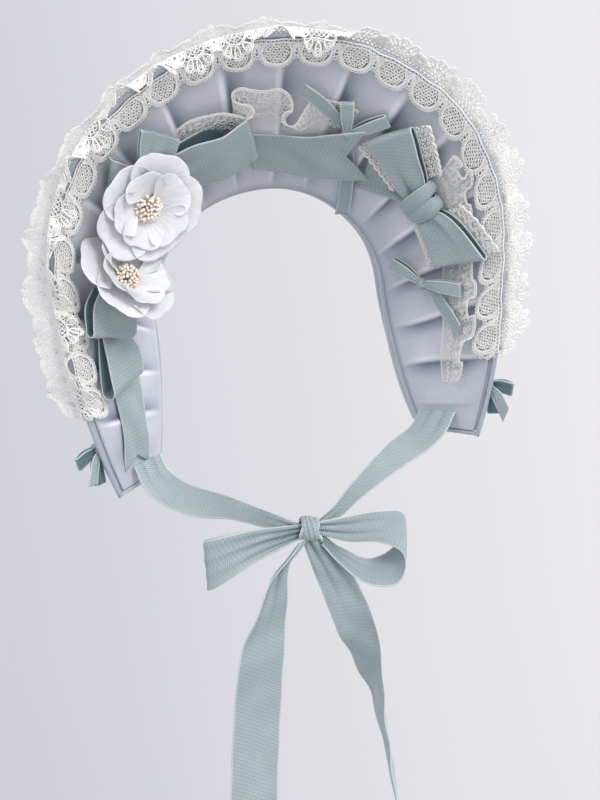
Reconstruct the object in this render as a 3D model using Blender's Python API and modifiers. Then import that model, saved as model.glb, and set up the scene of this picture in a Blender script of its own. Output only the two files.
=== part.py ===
"""Lolita bonnet: a satin half bonnet with lace, ribbon bows and organza flowers.

Lengths are metres and +Z is up. The wearer faces -Y. The origin is the top of the seat
arch, where the bonnet rests on the head. Places on the brim are given as `around`, from -1
at the left tip over the top to 1 at the right tip, `out`, from 0 at the seat to 1 at the
front edge, and `up`, the height over the lining on the wearer's side.
"""
import math
from typing import NamedTuple

import bmesh
import bpy
import numpy as np

# Brim outline: the front edge and the seat arch
FRONT_HALF_WIDTH = 0.164
FRONT_TOP_Z = 0.115
FRONT_WIDEST_Z = -0.034
FRONT_TIP = (0.139, -0.045, -0.207)
FRONT_TOP_Y = -0.095
FRONT_WIDEST_Y = -0.090
SEAT_HALF_WIDTH = 0.092
SEAT_WIDEST_Z = -0.092
SEAT_WIDEST_Y = 0.002
SEAT_TIP = (0.106, -0.010, -0.203)

# Walls and clearances
GAP = 0.0003
REST_GAP = 0.0007
SHELL_WALL = 0.002
SHELL_BACK = REST_GAP + SHELL_WALL
LINING_WALL = 0.0012
BAND_WALL = 0.002
RIBBON_WALL = 0.001
LACE_WALL = 0.001
PETAL_WALL = 0.001
BAND_DEPTH = 0.028
BINDING_RADIUS = 0.002

# Pleats, lace and frills
PLEATS_EACH_SIDE = 9
PLEAT_HEIGHT = 0.0024
PLEAT_LEAN = 0.055
PLEAT_RISE = 0.82
LINING_ROWS = (0.0, 0.25, 0.72, 0.97)
LACE_DEPTH = 0.026
LACE_END = 0.84
LACE_REPEATS = 24
LACE_WAVE = 0.0008
BACK_FRILL_DEPTH = 0.022

# Ribbons
NARROW_RIBBON = 0.011
KNOT_WALL = 0.0012
KNOT_SINK = 0.0009
PAD_RADIUS = 0.009

# Organza flowers
PETAL_SEGMENTS = 20
PETAL_NOTCH = 0.16
INNER_SHARE = 0.72
INNER_LIFT = 0.0018
STAMEN_RADIUS = 0.009
STAMEN_LIFT = 0.0077


class Fold(NamedTuple):
    """One section across a ribbon that lies over the brim."""

    around: float
    out: float
    up: float
    turn: float
    tilt: float
    width: float


class Hang(NamedTuple):
    """One section across a ribbon that hangs free of the brim."""

    x: float
    y: float
    z: float
    yaw: float
    pitch: float
    width: float


class Ruffle(NamedTuple):
    """One section from the root to the free edge of a frill."""

    around: float
    root: float
    edge: float
    up: float


def three_point_curve(z, near_top, widest, tip):
    """Depth along an arch: the parabola through three (z, y) places."""
    (z0, y0), (z1, y1), (z2, y2) = near_top, widest, tip
    return (y0 * (z - z1) * (z - z2) / ((z0 - z1) * (z0 - z2))
            + y1 * (z - z0) * (z - z2) / ((z1 - z0) * (z1 - z2))
            + y2 * (z - z0) * (z - z1) / ((z2 - z0) * (z2 - z1)))


def half_arch(half_width, top_z, widest_z, tip, top_y, widest_y):
    """The right half of an arch, from its top to its tip, with the length run so far."""
    quarter = np.linspace(0.0, math.pi / 2, 120)
    side = np.linspace(0.0, 1.0, 80)[1:]
    x = np.concatenate([half_width * np.sin(quarter), half_width + (tip[0] - half_width) * side ** 2])
    z = np.concatenate([widest_z + (top_z - widest_z) * np.cos(quarter),
                        widest_z + (tip[2] - widest_z) * side])
    y = three_point_curve(z, (top_z, top_y), (widest_z, widest_y), (tip[2], tip[1]))
    points = np.stack([x, y, z], axis=1)
    steps = np.linalg.norm(np.diff(points, axis=0), axis=1)
    return points, np.concatenate([[0.0], np.cumsum(steps)])


FRONT_ARCH = half_arch(FRONT_HALF_WIDTH, FRONT_TOP_Z, FRONT_WIDEST_Z, FRONT_TIP,
                       FRONT_TOP_Y, FRONT_WIDEST_Y)
SEAT_ARCH = half_arch(SEAT_HALF_WIDTH, 0.0, SEAT_WIDEST_Z, SEAT_TIP, 0.0, SEAT_WIDEST_Y)


def along_arch(arch, around):
    """Points of a whole arch at `around`, going straight on past its tips."""
    points, run = arch
    share = np.abs(around)
    found = np.stack([np.interp(share * run[-1], run, points[:, axis]) for axis in range(3)], axis=-1)
    end = (points[-1] - points[-2]) / np.linalg.norm(points[-1] - points[-2])
    found = found + (np.maximum(share - 1.0, 0.0) * run[-1])[..., None] * end
    found[..., 0] *= np.where(around < 0, -1.0, 1.0)
    return found


def brim_point(around, out):
    """The ruled surface between the seat arch and the front edge."""
    around, out = np.broadcast_arrays(np.asarray(around, float), np.asarray(out, float))
    seat = along_arch(SEAT_ARCH, around)
    return seat + (along_arch(FRONT_ARCH, around) - seat) * out[..., None]


def brim_axes(around, out):
    """Both derivatives of the brim surface and its unit normal to the wearer's side."""
    step = 1e-3
    by_around = (brim_point(around + step, out) - brim_point(around - step, out)) / (2 * step)
    by_out = (brim_point(around, out + step) - brim_point(around, out - step)) / (2 * step)
    normal = np.cross(by_out, by_around)
    normal /= np.linalg.norm(normal, axis=-1, keepdims=True)
    return by_around, by_out, np.where(normal[..., 1:2] > 0, -normal, normal)


def place(around, out, height):
    """A point of the bonnet, `height` over the brim surface."""
    around, out, height = np.broadcast_arrays(*[np.asarray(v, float) for v in (around, out, height)])
    normal = brim_axes(around, out)[2]
    return brim_point(around, out) + normal * height[..., None]


def shift(around, out, along, across):
    """Brim coordinates reached by going `along` the arch and `across` it, in metres."""
    by_around, by_out, normal = brim_axes(around, out)
    length = np.linalg.norm(by_around, axis=-1)
    tangent = by_around / length[..., None]
    outward = np.cross(tangent, normal)
    facing = np.sum(outward * by_out, axis=-1)
    outward_share = across / np.abs(facing)
    sideways = np.sum(by_out * tangent, axis=-1)
    return around + (along - outward_share * sideways) / length, out + outward_share


def slant(around):
    """Length of the brim from its seat to its front edge."""
    return np.linalg.norm(along_arch(FRONT_ARCH, around) - along_arch(SEAT_ARCH, around), axis=-1)


def pleat_crest(around, out):
    """Height of the crests of the lining's pleats, which fade at the seat and the edge."""
    fade = np.clip(out / LINING_ROWS[1], 0.0, 1.0) * np.clip(
        (LINING_ROWS[3] - out) / (LINING_ROWS[3] - LINING_ROWS[2]), 0.0, 1.0)
    tips = np.clip((0.97 - np.abs(around)) / 0.08, 0.0, 1.0)
    return PLEAT_HEIGHT * fade * tips


def rest_height(around, out, wall):
    """Height of the middle of a sheet that lies on the crests of the lining's pleats."""
    return LINING_WALL + pleat_crest(around, out) + REST_GAP + wall / 2


def smooth_rows(rows, steps):
    """Extra rows on a smooth curve through a table's rows."""
    table = np.array(rows, float)
    padded = np.vstack([2 * table[0] - table[1], table, 2 * table[-1] - table[-2]])
    found = []
    for index in range(len(table) - 1):
        before, start, end, after = padded[index:index + 4]
        for t in np.arange(steps) / steps:
            found.append(0.5 * (2 * start + (end - before) * t
                                + (2 * before - 5 * start + 4 * end - after) * t ** 2
                                + (3 * start - before - 3 * end + after) * t ** 3))
    found.append(table[-1])
    return np.array(found)


def finish(name, colour, roughness):
    """A plain cloth finish."""
    material = bpy.data.materials.new(name)
    material.use_nodes = True
    shader = material.node_tree.nodes["Principled BSDF"]
    shader.inputs["Base Color"].default_value = (*colour, 1.0)
    shader.inputs["Roughness"].default_value = roughness
    shader.inputs["Metallic"].default_value = 0.0
    return material


def start_scene():
    """An empty scene with a collection for the bonnet and one for its cutters."""
    for old in list(bpy.data.objects):
        bpy.data.objects.remove(old, do_unlink=True)
    for title in ("lolita_bonnet", "cutters"):
        bpy.context.scene.collection.children.link(bpy.data.collections.new(title))


def add_object(name, mesh, material):
    """One named sub-part of the bonnet."""
    mesh.materials.append(material)
    mesh.shade_smooth()
    mesh.set_sharp_from_angle(angle=math.radians(50))
    piece = bpy.data.objects.new(name, mesh)
    bpy.data.collections["lolita_bonnet"].objects.link(piece)
    return piece


def add_sheet(name, points, wall, material, pierced=(), round_about=False):
    """A cloth sheet: a grid of points thickened to its wall, with some cells cut out."""
    rows, columns = points.shape[:2]
    mesh = bpy.data.meshes.new(name)
    sheet = bmesh.new()
    corners = [[sheet.verts.new(tuple(points[row, column])) for column in range(columns)]
               for row in range(rows)]
    for row in range(rows - 1):
        for column in range(columns if round_about else columns - 1):
            if (row, column) not in pierced:
                beside = (column + 1) % columns
                sheet.faces.new((corners[row][column], corners[row][beside],
                                 corners[row + 1][beside], corners[row + 1][column]))
    sheet.to_mesh(mesh)
    sheet.free()
    piece = add_object(name, mesh, material)
    thickness = piece.modifiers.new("wall", "SOLIDIFY")
    thickness.thickness = wall
    thickness.offset = 0.0
    return piece


def ribbon_grid(stations, across_steps, wall=RIBBON_WALL):
    """Points of a ribbon over the brim, kept off the lining, from its smoothed sections."""
    around, out, up, turn, tilt, width = [stations[:, column, None] for column in range(6)]
    across = np.linspace(-0.5, 0.5, across_steps + 1)[None, :] * width
    flat = across * np.cos(np.radians(tilt))
    along = flat * np.cos(np.radians(turn))
    outward = flat * np.sin(np.radians(turn))
    around, out, along, outward = np.broadcast_arrays(around, out, along, outward)
    there_around, there_out = shift(around, out, along, outward)
    rise = up + across * np.sin(np.radians(tilt))
    lowest = rest_height(there_around, there_out, wall)
    inside = (there_out < 1.0) & (up > 0.0)
    resting = np.where(inside, np.maximum(rise, lowest), rise)
    return place(there_around, there_out, resting)


def add_ribbon(name, rows, material, across_steps=3, steps=2):
    """A flat length of ribbon laid through its sections."""
    return add_sheet(name, ribbon_grid(smooth_rows(rows, steps), across_steps), RIBBON_WALL, material)


def loop_stations(rows, under, steps):
    """Sections of a loop: out along its rows, round a bend, and back underneath."""
    front = smooth_rows(rows, steps)
    last, before = front[-1], front[-2]
    by_around, by_out, normal = brim_axes(last[0], last[1])
    travel = brim_point(last[0], last[1]) - brim_point(before[0], before[1])
    length = np.linalg.norm(by_around)
    tangent = by_around / length
    outward = np.cross(tangent, normal)
    outward *= np.sign(outward @ by_out)
    heading = math.atan2(travel @ outward, travel @ tangent)
    radius = (last[2] - under) / 2
    bend = []
    for angle in (45.0, 0.0, -45.0):
        reach = abs(radius) * math.cos(math.radians(angle))
        around, out = shift(np.array(last[0]), np.array(last[1]),
                            reach * math.cos(heading), reach * math.sin(heading))
        height = (last[2] + under) / 2 + radius * math.sin(math.radians(angle))
        tilt = last[4] * (angle + 90.0) / 180.0
        bend.append([float(around), float(out), height, last[3], tilt, last[5]])
    back = front[::-1].copy()
    back[:, 2] = under
    back[:, 4] = 0.0
    return np.vstack([front, bend, back])


def add_loop(name, rows, under, material, across_steps=3, steps=2):
    """A bow's loop of ribbon."""
    return add_sheet(name, ribbon_grid(loop_stations(rows, under, steps), across_steps),
                     RIBBON_WALL, material)


def hanging_grid(rows, across_steps, steps):
    """Points of a ribbon that hangs free of the brim."""
    stations = smooth_rows(rows, steps)
    yaw, pitch = np.radians(stations[:, 3]), np.radians(stations[:, 4])
    direction = np.stack([np.cos(pitch) * np.cos(yaw), np.cos(pitch) * np.sin(yaw), np.sin(pitch)],
                         axis=1)
    across = np.linspace(-0.5, 0.5, across_steps + 1)
    offset = across[None, :, None] * stations[:, 5, None, None] * direction[:, None, :]
    return stations[:, None, :3] + offset


def add_sleeve(name, centre, axis, upward, size, wall, material, sides=10):
    """A knot: a short band of ribbon wound round the waist of a bow.

    `size` is its length, its half width and its half height, outside.
    """
    length, half_width, half_height = size
    axis = axis / np.linalg.norm(axis)
    upward = upward - axis * (upward @ axis)
    upward /= np.linalg.norm(upward)
    sideways = np.cross(axis, upward)
    angles = np.arange(sides) * 2 * math.pi / sides
    rings = []
    for station, pinch in ((-0.5, 0.94), (0.0, 1.0), (0.5, 0.94)):
        ring = (centre + axis * length * station
                + np.cos(angles)[:, None] * sideways * (half_width - wall / 2) * pinch
                + np.sin(angles)[:, None] * upward * (half_height - wall / 2) * pinch)
        rings.append(ring)
    return add_sheet(name, np.array(rings), wall, material, round_about=True)


def brim_frame(around, out, heading=0.0):
    """Centre, direction `heading` degrees from the arch, and normal at a place on the brim."""
    by_around, by_out, normal = brim_axes(np.array(around), np.array(out))
    tangent = by_around / np.linalg.norm(by_around)
    outward = np.cross(tangent, normal)
    outward *= np.sign(outward @ by_out)
    turned = tangent * math.cos(math.radians(heading)) + outward * math.sin(math.radians(heading))
    return brim_point(np.array(around), np.array(out)), turned, normal


def add_pad(name, around, out, up, radii, material):
    """A gathered knot: a rounded pad over the brim, with its radii along, across and up."""
    centre, tangent, normal = brim_frame(around, out)
    outward = np.cross(tangent, normal)
    mesh = bpy.data.meshes.new(name)
    pad = bmesh.new()
    bmesh.ops.create_uvsphere(pad, u_segments=8, v_segments=5, radius=1.0)
    pad.to_mesh(mesh)
    pad.free()
    handed = -1.0 if np.dot(np.cross(tangent, outward), normal) < 0 else 1.0
    for vertex in mesh.vertices:
        x, y, z = vertex.co
        vertex.co = (centre + normal * (up + z * radii[2]) + tangent * x * radii[0]
                     + outward * y * radii[1] * handed)
    add_object(name, mesh, material)


def build_brim(finishes):
    """Shell, pleated lining, head band and corded edge."""
    around = np.linspace(-1.0, 1.0, 41)[None, :]
    out = np.linspace(0.0, 1.0, 3)[:, None]
    add_sheet("brim_shell", place(around, out, -REST_GAP - SHELL_WALL / 2), SHELL_WALL, finishes["satin"])

    half = (np.arange(PLEATS_EACH_SIDE)[:, None] + np.array([0.0, PLEAT_RISE / 2, PLEAT_RISE])).ravel()
    half = np.append(half, PLEATS_EACH_SIDE) / PLEATS_EACH_SIDE
    heights = np.tile([0.0, 0.5, 1.0], PLEATS_EACH_SIDE)
    heights = np.append(heights, 0.0)
    columns = np.concatenate([-half[:0:-1], half])[None, :]
    folds = np.concatenate([heights[:0:-1], heights])[None, :]
    out = np.array(LINING_ROWS)[:, None]
    lean = np.sign(columns) * PLEAT_LEAN * (out - 0.5) * np.clip((1.0 - np.abs(columns)) * 10, 0.0, 1.0)
    height = LINING_WALL / 2 + folds * pleat_crest(columns + lean, out)
    add_sheet("brim_lining", place(columns + lean, out, height), LINING_WALL, finishes["satin"])

    seat = along_arch(SEAT_ARCH, np.linspace(-1.0, 1.0, 31))
    backward = np.array([0.0, 1.0, 0.0])
    outward = np.cross(np.gradient(seat, axis=0), backward)
    outward /= np.linalg.norm(outward, axis=1)[:, None]
    band = []
    for share, fold in ((0.0, 0.0), (0.3, 0.0012), (0.6, 0.0), (1.0, 0.0012)):
        band.append(seat + backward * (3 * GAP + BAND_DEPTH * share)
                    - outward * (GAP + BAND_WALL / 2 - fold))
    add_sheet("head_band", np.array(band), BAND_WALL, finishes["satin"])

    edge = [(-1.0, 0.02), (-1.0, 0.5)] + [(share, 1.0) for share in np.linspace(-1.0, 1.0, 41)]
    edge += [(1.0, 0.5), (1.0, 0.02)]
    cord = bpy.data.curves.new("edge_binding", "CURVE")
    cord.dimensions = "3D"
    cord.bevel_depth = BINDING_RADIUS
    cord.bevel_resolution = 1
    cord.use_fill_caps = True
    spline = cord.splines.new("POLY")
    spline.points.add(len(edge) - 1)
    stand_off = BINDING_RADIUS + 2 * GAP
    for point, (share, reach) in zip(spline.points, edge):
        past_tip = math.copysign(stand_off, share) if abs(share) == 1.0 else 0.0
        past_edge = stand_off if reach == 1.0 else 0.0
        there = shift(np.array(share), np.array(reach), past_tip, past_edge)
        point.co = (*place(there[0], there[1], (LINING_WALL - SHELL_BACK) / 2), 1.0)
    cord.materials.append(finishes["binding"])
    bpy.data.collections["lolita_bonnet"].objects.link(bpy.data.objects.new("edge_binding", cord))


def build_laces(finishes):
    """Two rows of pierced lace, and the tulle frill behind them."""
    columns = LACE_REPEATS * 2
    around = np.linspace(-LACE_END, LACE_END, columns + 1)[None, :]
    wave = np.cos(np.arange(columns + 1) * math.pi)[None, :]
    openings = {(1, column) for column in range(1, columns, 2)}

    depth = np.array([0.002, 0.009, 0.019, LACE_DEPTH])[:, None]
    share = depth / LACE_DEPTH
    out = 1.0 - depth * (1.0 - 0.1 * wave * share) / slant(around)
    height = rest_height(around, out, LACE_WALL) + LACE_WAVE * (1.0 + wave) * share
    add_sheet("edge_lace_inner", place(around, out, height), LACE_WALL, finishes["lace"], openings)

    reach = np.array([-0.004, 0.007, 0.017, LACE_DEPTH])[:, None]
    share = np.clip(reach / LACE_DEPTH, 0.0, 1.0)
    out = 1.0 + reach * (1.0 - 0.12 * wave * share) / slant(around)
    height = -(SHELL_BACK + REST_GAP + LACE_WALL / 2) - LACE_WAVE * (1.0 + wave) * share
    add_sheet("edge_lace_outer", place(around, out, height), LACE_WALL, finishes["lace"], openings)

    around = np.linspace(-LACE_END, LACE_END, 45)[None, :]
    wave = np.cos(np.arange(45) * math.pi)[None, :]
    reach = np.array([-0.008, 0.006, BACK_FRILL_DEPTH])[:, None]
    share = np.clip(reach / BACK_FRILL_DEPTH, 0.0, 1.0)
    height = -(SHELL_BACK + 2 * REST_GAP + 1.5 * LACE_WALL) - 0.0045 * share - 0.002 * (1.0 + wave) * share
    add_sheet("back_frill", place(around, 1.0 + reach / slant(around), height), LACE_WALL,
              finishes["tulle"])


def add_frill(name, rows, waves, swing, steps, material):
    """A tulle ruffle: flat from its sewn root under the ribbons, then up to its waving edge."""
    stations = smooth_rows(rows, steps)
    share = np.array([0.0, 0.55, 0.8, 1.0])[:, None]
    raised = np.clip((share - 0.55) / 0.45, 0.0, 1.0)
    around = stations[None, :, 0]
    out = stations[None, :, 1] + (stations[None, :, 2] - stations[None, :, 1]) * share
    run = np.linspace(0.0, waves * 2 * math.pi, len(stations))[None, :]
    lift = np.maximum(stations[None, :, 3], 0.0)
    lift = lift + np.minimum(swing, lift) * np.sin(run)
    add_sheet(name, place(around, out, rest_height(around, out, LACE_WALL) + raised * lift),
              LACE_WALL, material)


def build_frills(finishes):
    """The ruffles inside the brim, at the top and down the right side."""
    add_frill("inner_frill_top", (
        Ruffle(around=-0.160, root=0.46, edge=0.66, up=0.001),
        Ruffle(around=-0.090, root=0.46, edge=0.74, up=0.008),
        Ruffle(around=-0.020, root=0.46, edge=0.77, up=0.009),
        Ruffle(around=0.050, root=0.46, edge=0.76, up=0.007),
        Ruffle(around=0.105, root=0.46, edge=0.66, up=0.001)), 3, 0.004, 5, finishes["tulle"])
    add_frill("inner_frill_right", (
        Ruffle(around=0.430, root=0.62, edge=0.84, up=0.007),
        Ruffle(around=0.465, root=0.62, edge=0.90, up=0.008),
        Ruffle(around=0.505, root=0.60, edge=0.74, up=0.001),
        Ruffle(around=0.550, root=0.58, edge=0.70, up=0.0),
        Ruffle(around=0.610, root=0.54, edge=0.68, up=0.0),
        Ruffle(around=0.680, root=0.50, edge=0.66, up=0.001),
        Ruffle(around=0.735, root=0.50, edge=0.80, up=0.007),
        Ruffle(around=0.810, root=0.46, edge=0.77, up=0.007),
        Ruffle(around=0.880, root=0.46, edge=0.66, up=0.004)), 4, 0.001, 3, finishes["tulle"])


LEFT_LOOPS = {
    "left_bow_loop_right": (0.0070, (
        Fold(around=-0.258, out=0.50, up=0.0125, turn=60, tilt=0, width=0.032),
        Fold(around=-0.178, out=0.44, up=0.0160, turn=74, tilt=2, width=0.044),
        Fold(around=-0.098, out=0.42, up=0.0205, turn=85, tilt=4, width=0.046),
        Fold(around=-0.030, out=0.45, up=0.0165, turn=100, tilt=2, width=0.044))),
    "left_bow_loop_up": (0.0172, (
        Fold(around=-0.265, out=0.66, up=0.0190, turn=117, tilt=0, width=0.028),
        Fold(around=-0.243, out=0.73, up=0.0198, turn=122, tilt=0, width=0.036),
        Fold(around=-0.222, out=0.80, up=0.0202, turn=120, tilt=0, width=0.040))),
    "left_bow_loop_side": (0.0065, (
        Fold(around=-0.325, out=0.69, up=0.0140, turn=40, tilt=-3, width=0.028),
        Fold(around=-0.345, out=0.79, up=0.0140, turn=41, tilt=-3, width=0.034))),
    "left_bow_loop_low_upper": (0.0126, (
        Fold(around=-0.550, out=0.66, up=0.0230, turn=80, tilt=-12, width=0.030),
        Fold(around=-0.600, out=0.74, up=0.0260, turn=72, tilt=-20, width=0.038),
        Fold(around=-0.648, out=0.76, up=0.0240, turn=68, tilt=-16, width=0.040))),
    "left_bow_loop_low_lower": (0.0074, (
        Fold(around=-0.565, out=0.58, up=0.0105, turn=72, tilt=0, width=0.030),
        Fold(around=-0.640, out=0.60, up=0.0110, turn=72, tilt=0, width=0.034),
        Fold(around=-0.690, out=0.62, up=0.0150, turn=76, tilt=-12, width=0.034),
        Fold(around=-0.752, out=0.66, up=0.0170, turn=80, tilt=-20, width=0.032))),
}
LEFT_TAIL = (
    Fold(around=-0.565, out=0.52, up=0.001, turn=74, tilt=0, width=0.034),
    Fold(around=-0.743, out=0.49, up=0.001, turn=75, tilt=0, width=0.034),
    Fold(around=-0.861, out=0.48, up=0.001, turn=75, tilt=0, width=0.031),
    Fold(around=-0.965, out=0.53, up=0.001, turn=77, tilt=0, width=0.030))
CENTRE_TAIL = (
    Fold(around=0.012, out=0.285, up=0.0046, turn=95, tilt=0, width=0.036),
    Fold(around=0.066, out=0.25, up=0.0046, turn=103, tilt=0, width=0.037),
    Fold(around=0.144, out=0.27, up=0.0085, turn=113, tilt=0, width=0.038),
    Fold(around=0.218, out=0.36, up=0.0105, turn=121, tilt=2, width=0.040),
    Fold(around=0.270, out=0.45, up=0.0115, turn=126, tilt=2, width=0.042))


def build_left_bow(finishes):
    """The wide bow under the flowers, and the ribbon that runs on across the top."""
    for name, (under, rows) in LEFT_LOOPS.items():
        add_loop(name, rows, under, finishes["ribbon"])
    add_ribbon("left_bow_tail", LEFT_TAIL, finishes["ribbon"])
    add_ribbon("centre_ribbon_tail", CENTRE_TAIL, finishes["ribbon"])
    for name, around, out, high in (("left_bow_knot", -0.298, 0.58, 0.0232),
                                    ("left_bow_low_knot", -0.510, 0.63, 0.0212)):
        low = float(rest_height(np.array(around), np.array(out), 0.0)) - KNOT_SINK
        radii = (PAD_RADIUS, PAD_RADIUS, (high - low) / 2)
        add_pad(name, around, out, (low + high) / 2, radii, finishes["ribbon"])


RIGHT_LOOPS = {
    "right_bow_loop_up": (
        Fold(around=0.438, out=0.53, up=0.0150, turn=-90, tilt=0, width=0.016),
        Fold(around=0.405, out=0.55, up=0.0160, turn=-97, tilt=2, width=0.024),
        Fold(around=0.352, out=0.59, up=0.0172, turn=-110, tilt=0, width=0.032),
        Fold(around=0.296, out=0.66, up=0.0165, turn=-116, tilt=0, width=0.040)),
    "right_bow_loop_low": (
        Fold(around=0.456, out=0.53, up=0.0150, turn=-84, tilt=0, width=0.016),
        Fold(around=0.472, out=0.53, up=0.0150, turn=-83, tilt=0, width=0.017),
        Fold(around=0.496, out=0.57, up=0.0158, turn=-76, tilt=0, width=0.026),
        Fold(around=0.545, out=0.64, up=0.0168, turn=-78, tilt=1, width=0.036),
        Fold(around=0.618, out=0.735, up=0.0158, turn=-74, tilt=2, width=0.046)),
}
RIGHT_UNDER = 0.0092
RIGHT_LACE_UP = 0.0074
RIGHT_LACE_MARGIN = 0.008
RIGHT_KNOT_PLACE = (0.447, 0.53)
RIGHT_KNOT_UP = 0.0121
RIGHT_KNOT_SIZE = (0.015, 0.0165, 0.0080)
RIGHT_UNDER_TAIL = (
    Fold(around=0.416, out=0.42, up=0.0040, turn=107, tilt=0, width=0.014),
    Fold(around=0.345, out=0.36, up=0.0035, turn=110, tilt=0, width=0.026),
    Fold(around=0.285, out=0.31, up=0.0030, turn=110, tilt=0, width=0.032))


def build_right_bow(finishes):
    """The wide bow at the right, backed with lace, with its crossing knot."""
    for name, rows in RIGHT_LOOPS.items():
        add_loop(name, rows, RIGHT_UNDER, finishes["ribbon"])
        backing = [row._replace(up=RIGHT_LACE_UP, tilt=0, width=row.width + RIGHT_LACE_MARGIN)
                   for row in rows[-3:]]
        add_ribbon(name.replace("loop", "lace"), backing, finishes["lace"])
    add_ribbon("right_bow_tail", RIGHT_UNDER_TAIL, finishes["ribbon"])
    centre, heading, normal = brim_frame(*RIGHT_KNOT_PLACE)
    add_sleeve("right_bow_knot", centre + normal * RIGHT_KNOT_UP, heading, normal,
               RIGHT_KNOT_SIZE, KNOT_WALL, finishes["ribbon"])


class Reach(NamedTuple):
    """A strip from a bow's knot: degrees from the arch, length, and rise at its end."""

    heading: float
    length: float
    rise: float = 0.0


class Bow(NamedTuple):
    """A small bow of narrow ribbon: where it sits, what it lies on, and which side."""

    name: str
    around: float
    out: float
    floor: float
    side: float
    loops: tuple
    tails: tuple


NARROW_BOWS = (
    Bow(name="top_narrow_bow", around=0.206, out=0.545, floor=0.0036, side=1.0,
        loops=(Reach(heading=114, length=0.026), Reach(heading=58, length=0.031)),
        tails=(Reach(heading=146, length=0.056, rise=0.009), Reach(heading=-62, length=0.088))),
    Bow(name="right_narrow_bow", around=0.622, out=0.385, floor=0.0052, side=1.0,
        loops=(Reach(heading=-128, length=0.030), Reach(heading=91, length=0.036)),
        tails=(Reach(heading=50, length=0.048, rise=0.006),)),
    Bow(name="left_edge_bow", around=-0.905, out=0.97, floor=SHELL_BACK, side=-1.0,
        loops=(Reach(heading=80, length=0.020), Reach(heading=150, length=0.022)),
        tails=(Reach(heading=115, length=0.032), Reach(heading=185, length=0.036))),
    Bow(name="right_edge_bow", around=0.905, out=0.97, floor=SHELL_BACK, side=-1.0,
        loops=(Reach(heading=100, length=0.020), Reach(heading=30, length=0.022)),
        tails=(Reach(heading=65, length=0.032),)),
)
KNOT_RADIUS = 0.0045
KNOT_MIDDLE = 0.0052
NARROW_LOOP_BACK = 0.0042
NARROW_TAIL_ROOT = 0.0031
LOOP_SECTIONS = ((0.0, 0.0064, 0.004), (0.5, 0.0078, 0.009), (1.0, 0.0072, NARROW_RIBBON))
TAIL_SECTIONS = ((0.0, 0.0014, 0.004), (0.3, 0.0014, 0.010), (0.65, 0.0014, NARROW_RIBBON),
                 (1.0, 0.0014, NARROW_RIBBON))


def strip_rows(bow, reach, start, sections):
    """Sections of a strip that runs from a small bow's knot: (share, height, width)."""
    rows = []
    heading = math.radians(reach.heading)
    for share, height, width in sections:
        step = start + (reach.length - start) * share
        around, out = shift(np.array(bow.around), np.array(bow.out),
                            step * math.cos(heading), step * math.sin(heading))
        up = bow.side * (bow.floor + height + reach.rise * share)
        rows.append(Fold(float(around), float(out), up, reach.heading + 90, 0, width))
    return rows


def build_narrow_bow(bow, material):
    """Loops, tails and the knot of one small bow."""
    for index, reach in enumerate(bow.loops, start=1):
        rows = strip_rows(bow, reach, KNOT_RADIUS + GAP, LOOP_SECTIONS)
        back = bow.side * (bow.floor + NARROW_LOOP_BACK)
        add_loop(f"{bow.name}_loop_{index}", rows, back, material, 2, 1)
    for index, reach in enumerate(bow.tails, start=1):
        rows = strip_rows(bow, reach, NARROW_TAIL_ROOT, TAIL_SECTIONS)
        add_ribbon(f"{bow.name}_tail_{index}", rows, material, 2, 1)
    add_pad(f"{bow.name}_knot", bow.around, bow.out, bow.side * (bow.floor + KNOT_MIDDLE),
            (KNOT_RADIUS, KNOT_RADIUS, KNOT_MIDDLE - REST_GAP), material)


class Flower(NamedTuple):
    """An organza flower: its place on the brim and the way that it faces."""

    name: str
    around: float
    out: float
    up: float
    face: tuple
    radius: float
    roll: float


FLOWERS = (
    Flower(name="upper_flower", around=-0.300, out=0.580, up=0.0246, face=(0.05, 0.35, 0.93),
           radius=0.037, roll=20),
    Flower(name="lower_flower", around=-0.505, out=0.640, up=0.0226, face=(0.50, 0.30, 0.81),
           radius=0.036, roll=55),
)


def build_flower(flower, finishes):
    """Two cupped rings of five petals and the cushion of stamens."""
    centre, tangent, normal = brim_frame(flower.around, flower.out)
    outward = brim_frame(flower.around, flower.out, 90)[1]
    centre = centre + normal * flower.up
    axis = tangent * flower.face[0] + outward * flower.face[1] + normal * flower.face[2]
    axis /= np.linalg.norm(axis)
    side = np.cross(outward, axis)
    side /= np.linalg.norm(side)
    other = np.cross(axis, side)
    layers = (("outer_petals", flower.radius, 0.0, 0.010, flower.roll),
              ("inner_petals", flower.radius * INNER_SHARE, INNER_LIFT, 0.011, flower.roll + 36))
    for title, radius, lift, cup, roll in layers:
        angles = np.arange(PETAL_SEGMENTS) * 2 * math.pi / PETAL_SEGMENTS
        lobes = np.abs(np.cos(2.5 * (angles - math.radians(roll))))
        rings = []
        for share in (0.05, 0.55, 1.0):
            reach = radius * share * (1.0 - PETAL_NOTCH * share * (1.0 - lobes))
            rise = lift + cup * share ** 2 - 0.002 * share ** 2 * lobes
            rings.append(centre + axis * rise[:, None] + (np.cos(angles) * reach)[:, None] * side
                         + (np.sin(angles) * reach)[:, None] * other)
        add_sheet(f"{flower.name}_{title}", np.array(rings), PETAL_WALL, finishes["organza"],
                  round_about=True)
    mesh = bpy.data.meshes.new(f"{flower.name}_stamens")
    cushion = bmesh.new()
    bmesh.ops.create_uvsphere(cushion, u_segments=8, v_segments=5, radius=STAMEN_RADIUS)
    cushion.to_mesh(mesh)
    cushion.free()
    places = np.array([vertex.co for vertex in mesh.vertices])
    middle = centre + axis * STAMEN_LIFT
    for vertex, (x, y, z) in zip(mesh.vertices, places):
        vertex.co = middle + side * x + other * y + axis * z * 0.5
    add_object(f"{flower.name}_stamens", mesh, finishes["stamen"])


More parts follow.
